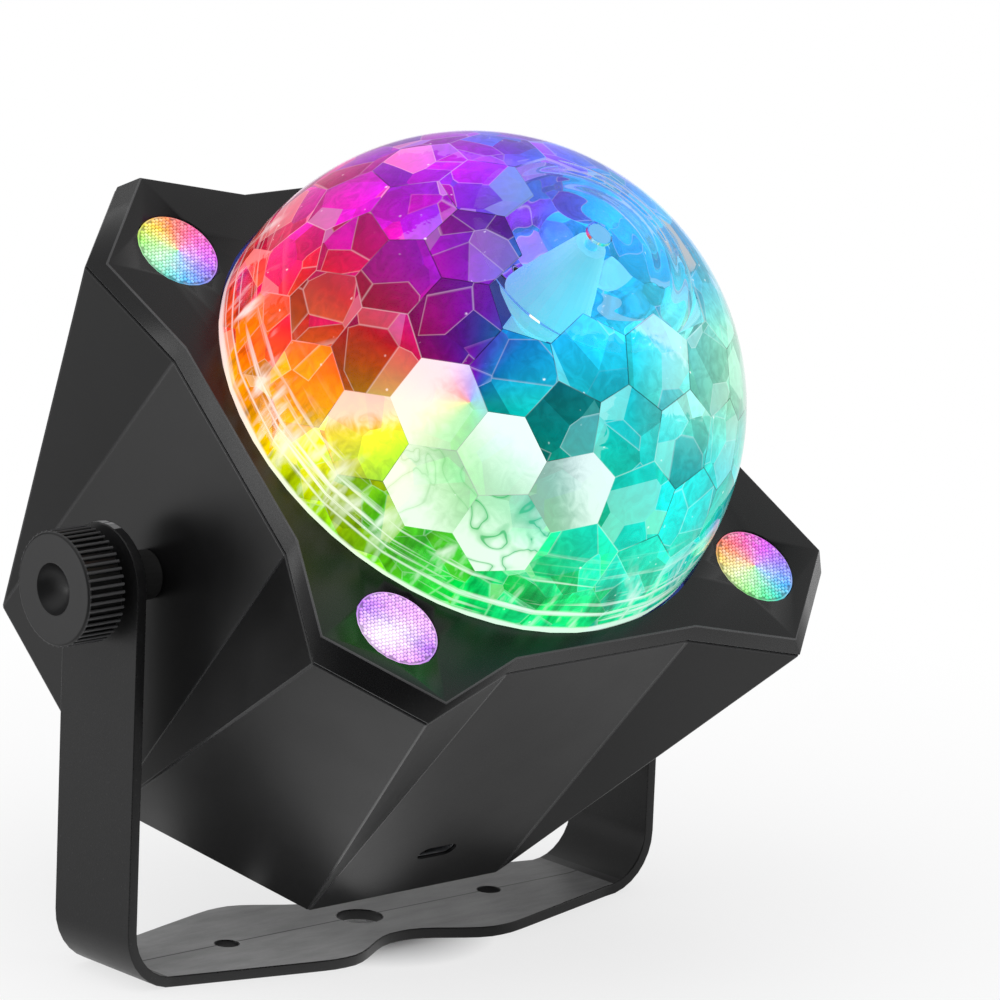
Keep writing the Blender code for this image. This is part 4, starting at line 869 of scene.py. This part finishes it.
def lensMaterial(name, stops, turnShare, centreWhite, strength):
    # Lit lens: colours by angle, a pale middle, dimmer between the beads
    material, net, shader = newMaterial(name)
    place = net.attribute("lensPlace", "Vector")
    colour = net.ramp(net.calc("FRACT", place.angle() / (2 * math.pi) + (1.0 + turnShare)), stops)
    flat = net.joined(place.axis("X"), place.axis("Y"))
    turn = (0.0, 0.0, math.radians(lensLight["hotTurn"]))
    hot = net.length(net.mapped(flat, lensLight["hotPlace"], turn, lensLight["hotScale"]))
    patches = net.noise(place, *lensLight["patchNoise"]).rise(*lensLight["patch"])
    middle = hot.spread(*lensLight["hotEnds"], centreWhite, lensLight["rimWhite"], True)
    paleness = net.calc("ADD", middle, patches, clamp=True)
    colour = net.mix(paleness, colour, lensLight["white"])
    cells = net.cells(flat, lensLight["spotScale"], "Color", lensLight["spotSpread"])
    spots = net.outs("SeparateColor", {0: cells})["Red"]
    crest = place.axis("Z").spread(0.0, lens["rise"] / lens["radius"], *lensLight["crestLevel"])
    level = net.most(
        crest * spots.spread(*lensLight["spotLevel"]), net.length(flat).rise(*lensLight["edge"]),
        paleness * lensLight["whiteLevel"])
    net.fill(shader, {
        "Emission Color": net.dimmed(colour, level), "Base Color": net.mix(lensLight["unlitShare"], colour, black),
        "Emission Strength": strength, "Roughness": lensLight["rough"],
    })
    return material


rainbowStops = [
    (0.00, (0.75, 0.10, 0.95)), (0.13, (1.00, 0.12, 0.45)), (0.25, (1.00, 0.20, 0.08)), (0.36, (1.00, 0.72, 0.05)),
    (0.48, (0.35, 0.95, 0.10)), (0.62, (0.05, 0.90, 0.40)), (0.75, (0.05, 0.50, 0.98)), (0.88, (0.28, 0.20, 1.00)),
    (1.00, (0.75, 0.10, 0.95)),
]
lilacStops = [
    (0.00, (0.86, 0.42, 0.98)), (0.22, (0.78, 0.36, 0.98)), (0.36, (0.46, 0.14, 0.88)), (0.50, (0.80, 0.40, 0.98)),
    (0.74, (0.80, 0.36, 0.98)), (0.84, (0.46, 0.14, 0.88)), (1.00, (0.86, 0.42, 0.98)),
]
# Side in X and Y, colours, their turn, how white the middle is, strength
corners = {
    "back_left": (-1, 1, rainbowStops, 0.05, 0.42, 0.86), "front_right": (1, -1, rainbowStops, -0.10, 0.42, 0.86),
    "front_left": (-1, -1, lilacStops, 0.0, 0.70, 0.92), "back_right": (1, 1, rainbowStops, 0.45, 0.42, 0.86),
}


def makeLenses():
    tree = lensTree()
    for word, (sideX, sideY, *light) in corners.items():
        name = "".join(part.title() for part in word.split("_"))
        piece = runTree(tree, f"lens{name}", {"Material": lensMaterial(f"lensLight{name}", *light)})
        spot = Matrix.Translation((sideX * lens["place"], sideY * lens["place"], -lens["rise"]))
        piece.data.transform(topPlace @ spot)
        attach(piece, "head")
        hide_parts(f"{word}_lens")


makeLenses()
print("lenses made")

knob = {
    "start": 0.0707, "collarRadius": 0.009, "collar": 0.0007, "end": 0.08, "root": 0.0107, "crest": 0.0114,
    "edgeRound": 0.0006, "edgeSteps": 8, "ribs": 46, "ribWidth": 0.0007, "ribSteps": 9, "ribSides": 8,
    "dimpleRadius": 0.0051, "dimpleDepth": 0.0036, "dimpleSteps": 14, "bore": 0.0028, "boreDepth": 0.004,
    "segments": 96, "small": 0.0002, "lip": ((0.00012, -0.00004), (0.0003, 0.0)), "taper": (0.86, 1.0, 1.0, 0.35),
    "ribsUnder": 0.6, "sharpFrom": 35,
}


def knobTree():
    # One long rib with a rounded crest, repeated round the knob's drum
    half = knob["ribWidth"] / 2
    net, given = geometryNet("knobRibLight", {
        "Drum": "Geometry", "Count": knob["ribs"], "Root Radius": knob["crest"] - half, "Rib Radius": half,
        "Low": knob["start"] + knob["collar"], "High": knob["end"] - knob["edgeRound"] * knob["ribsUnder"],
    })
    line = net.out("CurvePrimitiveLine", {"Start": net.joined(z=given["Low"]), "End": net.joined(z=given["High"])})
    points = net.out("ResampleCurve", {"Curve": line, "Count": knob["ribSteps"]})
    away = net.calc("ABSOLUTE", net.out("SplineParameter", output="Factor") * 2.0 - 1.0)
    taper = away.spread(*knob["taper"], True)
    rib = net.out("CurveToMesh", {
        "Curve": net.out("SetCurveRadius", {"Curve": points, "Radius": taper}), "Fill Caps": True,
        "Profile Curve": net.out("CurvePrimitiveCircle", {
            "Resolution": knob["ribSides"], "Radius": given["Rib Radius"],
        }),
    })
    ring = net.out("MeshCircle", {"Vertices": given["Count"], "Radius": given["Root Radius"]})
    return net.finished(net.bothOf(given["Drum"], net.smoothRepeats(ring, rib)), given)


def knobProfile():
    # From the dimple's middle over the lip and down to the blind bore
    start, end, root, bore, small = (knob[word] for word in ("start", "end", "root", "bore", "small"))
    dimple, depth = knob["dimpleRadius"], knob["dimpleDepth"]
    collar, turn = knob["collarRadius"], knob["edgeRound"]
    radius = (dimple ** 2 + depth ** 2) / (2 * depth)
    low = -math.pi / 2
    bowl = arcPoints((0, end - depth + radius), radius, low, low + math.asin(dimple / radius), knob["dimpleSteps"])
    edge = arcPoints((knob["crest"] - turn - small, end - turn), turn, math.pi / 2, 0, knob["edgeSteps"])
    shoulder, floor = start + knob["collar"], start + knob["boreDepth"]
    lip = [(dimple + out, end + up) for out, up in knob["lip"]]
    return [(0, end - depth)] + bowl[1:] + lip + edge + [
        (root, end - turn - 2 * small), (root, shoulder + small), (root - small, shoulder), (collar, shoulder),
        (collar, start), (bore, start), (bore, floor), (0, floor),
    ]


def makeKnobs():
    tree, profile = knobTree(), knobProfile()
    for word, side in (("left", -1), ("right", 1)):
        drum = turnedPiece(f"{word}KnurledKnob", profile, knob["segments"])
        runTree(tree, drum, {"Material": materials["knobPlastic"]})
        crispNormals(drum, knob["sharpFrom"])
        drum.data.transform(Matrix.Translation((0, pivot.y, pivot.z)) @ Matrix.Rotation(side * math.pi / 2, 4, "Y"))
        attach(drum, f"{word}_clamp")
        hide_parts(f"{word}_knob")


makeKnobs()
print("knobs made")

# Rounds of the edges and the shortest edge that gets one, in metres; folds in degrees
casing = {
    "weld": 0.000003, "flatWithin": 0.4,
    "edgeRound": 0.0004, "coverRound": 0.00028, "stripRound": 0.00035, "shortest": 0.008, "stripShortest": 0.00035,
    "leastFold": 9, "stripFold": 35, "roundSteps": 2, "normals": 40, "coreHalf": 0.04, "coreLow": -0.084,
    "rimHeights": (-0.0044, -0.0002), "rimSlants": (0.1, 0.92), "rimRadius": 0.055,
}


def cleanCopy(nodeName, pieceName, finishName, edgeRound, edgeLength, keep, rimShaded=None):
    # A merged copy of a CAD node with its long outer edges rounded and marked for a painted highlight
    bm = bmesh.new()
    bm.from_mesh(cadNodes[nodeName].data)
    bmesh.ops.remove_doubles(bm, verts=bm.verts, dist=casing["weld"])
    bmesh.ops.dissolve_limit(
        bm, angle_limit=math.radians(casing["flatWithin"]), verts=bm.verts, edges=bm.edges,
        use_dissolve_boundaries=False,
    )
    chosen = [
        edge for edge in bm.edges
        if len(edge.link_faces) == 2 and edge.calc_length() > edgeLength
        and edge.calc_face_angle(0) > math.radians(casing["leastFold"]) and keep(edge)
    ]
    paintedLight = bm.faces.layers.float.new("edgeHighlight")
    rimShade = bm.faces.layers.float.new("rimShade")
    # faces of the cover's slanted band get painted shade
    if rimShaded:
        for face in bm.faces:
            face[rimShade] = float(rimShaded(face))
    rounded = bmesh.ops.bevel(
        bm, geom=chosen, offset=edgeRound, offset_type="OFFSET", segments=casing["roundSteps"], profile=0.5,
        affect="EDGES", clamp_overlap=True, loop_slide=True,
    )
    # the rounded faces get the painted edge highlight
    for face in rounded["faces"]:
        face[paintedLight] = 1.0
    bmesh.ops.triangulate(bm, faces=[face for face in bm.faces if len(face.verts) > 4])
    mesh = bpy.data.meshes.new(pieceName)
    bm.to_mesh(mesh)
    bm.free()
    piece = link(mesh, pieceName, materials[finishName])
    crispNormals(piece, casing["normals"])
    return piece


def onOutside(edge):
    # Keeps to the casing's outer edges: both ends stand near its outline
    places = [topPlace.inverted() @ vertex.co for vertex in edge.verts]
    return all(max(abs(p.x), abs(p.y)) >= casing["coreHalf"] or p.z <= casing["coreLow"] for p in places)


def onRim(face):
    # The cover's slanted band, which gets painted shade
    middle = topPlace.inverted() @ face.calc_center_median()
    slant = (topPlace.to_3x3().transposed() @ face.normal).z
    (lowest, highest), (least, most) = casing["rimHeights"], casing["rimSlants"]
    return lowest < middle.z < highest and least < slant < most and middle.to_2d().length > casing["rimRadius"]


def onSharp(edge):
    return edge.calc_face_angle(0) > math.radians(casing["stripFold"])


shortest = casing["shortest"]
housingPiece = cleanCopy("housing", "casingShell", "casingPlastic", casing["edgeRound"], shortest, onOutside)
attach(housingPiece, "head")
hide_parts("housing")
coverPiece = cleanCopy("top_cover", "coverPlate", "coverPlastic", casing["coverRound"], shortest, onOutside, onRim)
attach(coverPiece, "head")
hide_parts("top_cover")
bracketPiece = cleanCopy(
    "bracket", "standBracket", "powderCoat", casing["stripRound"], casing["stripShortest"], onSharp)
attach(bracketPiece, "stand")
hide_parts("bracket")
print("casing, cover and bracket made")

sides, fourCorners = ("left", "right"), ("front_left", "front_right", "back_left", "back_right")
nodeFinishes = {
    "trayPaintedVioletLight": ["inner_tray"],
    "steelPaintedBlueLight": ["pole_screw"],
    "powderCoat": [f"{side}_washer" for side in sides],
    "rubber": [f"{side}_spacer" for side in sides],
    "castBrass": [f"{side}_nut" for side in sides],
    "zincSteel": [
        "dome_motor", "motor_shaft", "charging_socket", "microphone", "board_screw_1", "board_screw_2",
        *(f"{side}_{word}" for side in sides for word in ("motor_screw", "stud")),
        *(f"{word}_screw_{number}" for word in ("tray", "case") for number in range(1, 5)),
    ],
    "hubPaintedBlueLight": ["dome_hub"],
    "whitePlastic": ["lead_header"],
    "chipResin": ["controller_chip", "infrared_receiver", "storage_capacitor"],
    "greenBoard": ["control_board"],
    "boardPaintedBlueLight": ["lamp_board"],
    "whiteBoard": [f"{corner}_led_module" for corner in fourCorners],
    "leadSheath": ["motor_lead", "lamp_lead", *(f"{corner}_lead" for corner in fourCorners)],
    "ledPhosphor": [f"lamp_led_{number}" for number in range(1, 7)],
}
for finishName, names in nodeFinishes.items():
    for name in names:
        for slot in cadNodes[name].material_slots:
            slot.material = materials[finishName]
print("finishes given to the parts")

studio = {
    "floorColour": (0.94, 0.94, 0.95), "floorRough": 0.85, "floorSpecular": 0.2, "floorSize": 6.0,
    "floorWhite": (0.05, 0.30, 0.72, 1.0), "plateHole": (0.008, 0.024), "worldLevel": 0.55,
    # what the gloss mirrors: the floor near and far, the floor under the object, and the sky's front and back
    "mirrorFloor": (0.05, 0.60, 0.50, 1.0), "mirrorUnder": (-0.02, 0.02, 1.0, 0.38), "underEnds": (0.055, 0.085),
    "mirrorFront": (0.20, 0.85, 0.58, 0.06), "mirrorBack": (0.90, 0.97, 1.0, 0.05),
    "darkWays": [  # where it is dark: the way there, the fade round that way, and the fade over the floor
        ((-0.47, -0.88, -0.06), (0.25, 0.85, 0.92), (0.11, 0.20)),
        ((-0.24, 0.97, -0.08), (0.90, 0.97, 0.95), (0.25, 0.40)),
    ],
    "lampTarget": (0, 0, 0.085),
    "lamps": {  # azimuth, elevation, distance, size, watts
        "keyLamp": (-95, 42, 1.3, 1.6, 7.1), "fillLamp": (25, 30, 1.3, 1.5, 3.0), "topLamp": (-20, 80, 1.3, 1.5, 3.3),
    },
}
# A narrow bright board that only gloss sees, for the light edge on the left
strip = {
    "azimuth": -133, "from": (-0.07, -0.03, 0.0), "distance": 0.50, "width": 0.15, "low": 0.005, "high": 0.105,
    "strength": 2.8,
}


def floorShade(net, place, away, way, fade, reach):
    # How dark the floor's mirror image is towards one of the dark ways
    towards = net.vector("DOT_PRODUCT", net.vector("NORMALIZE", place, black), way)
    return towards.rise(*fade, True) * away.rise(*reach)


def makeFloor():
    material, net, shader = newMaterial("paleFloor")
    net.fill(shader, {
        "Base Color": studio["floorColour"], "Roughness": studio["floorRough"],
        "Specular IOR Level": studio["floorSpecular"],
    })
    place = net.place()
    away = net.length(place)
    rays = net.outs("LightPath")
    looked = rays["Is Camera Ray"] * away.spread(*studio["floorWhite"], True)
    looked *= away.rise(*studio["plateHole"])  # dim inside the plate's hole
    mirrored = net.most(rays["Is Glossy Ray"], rays["Is Transmission Ray"])
    share = net.most(looked, mirrored)
    shade = net.most(*(floorShade(net, place, away, *dark) for dark in studio["darkWays"]))
    under = place.axis("X").spread(*studio["mirrorUnder"])
    beside = away.rise(*studio["underEnds"])
    mirror = away.spread(*studio["mirrorFloor"]) * beside + under * (1.0 - beside)
    level = net.most(looked, mirrored * (mirror * (1.0 - shade)))
    plain = net.out("Emission", {"Color": white, "Strength": level / net.most(share, 0.001)})
    mix = net.out("MixShader", {0: share, 1: Wire(net, shader.outputs[0]), 2: plain})
    net.fill(net.tree.nodes["Material Output"], {0: mix})
    bm = bmesh.new()
    bmesh.ops.create_grid(bm, x_segments=2, y_segments=2, size=studio["floorSize"])
    floor = pieceFrom(bm, "floor", material)


def makeSky():
    world = bpy.data.worlds.new("studioWorld")
    world.use_nodes = True
    world.node_tree.nodes.clear()
    bpy.context.scene.world = world
    net = Net(world.node_tree)
    rays = net.outs("LightPath")
    seen = net.most(rays["Is Camera Ray"], rays["Is Glossy Ray"], rays["Is Transmission Ray"])
    way = net.out("TexCoord", output="Generated")
    front, back = (net.vector("DOT_PRODUCT", way, dark[0]) for dark in studio["darkWays"])
    mirror = front.spread(*studio["mirrorFront"], True) * back.spread(*studio["mirrorBack"], True)
    level = rays["Is Glossy Ray"] * (mirror - 1.0) + 1.0
    soft = net.out("Background", {"Color": white, "Strength": studio["worldLevel"]})
    bright = net.out("Background", {"Color": white, "Strength": level})
    net.node("OutputWorld", {0: net.out("MixShader", {0: seen, 1: soft, 2: bright})})


def makeStrip():
    middle = Vector(strip["from"]) + wayTowards(strip["azimuth"], 0) * strip["distance"]
    aside = wayTowards(strip["azimuth"] + 90, 0) * (strip["width"] / 2)
    bm = bmesh.new()
    bm.faces.new([
        bm.verts.new(middle + aside * side + Vector((0, 0, strip[end])))
        for side, end in ((-1, "low"), (1, "low"), (1, "high"), (-1, "high"))
    ])
    material, net, shader = newMaterial("stripLight")
    net.fill(shader, {"Base Color": black, "Emission Color": white, "Emission Strength": strip["strength"]})
    board = pieceFrom(bm, "stripBoard", material)
    board.visible_camera = board.visible_diffuse = board.visible_transmission = board.visible_shadow = False


def makeLamps():
    for name, (azimuth, elevation, distance, size, watts) in studio["lamps"].items():
        way = wayTowards(azimuth, elevation)
        data = bpy.data.lights.new(name, "AREA")
        data.shape, data.size, data.energy = "DISK", size, watts
        lamp = bpy.data.objects.new(name, data)
        lamp.visible_glossy = False
        bpy.context.scene.collection.objects.link(lamp)
        spot = Matrix.Translation(Vector(studio["lampTarget"]) + way * distance)
        lamp.matrix_world = spot @ way.to_track_quat("Z", "Y").to_matrix().to_4x4()


makeFloor()
makeSky()
makeStrip()
makeLamps()
bpy.context.scene.view_settings.view_transform = "Standard"
print("studio made")
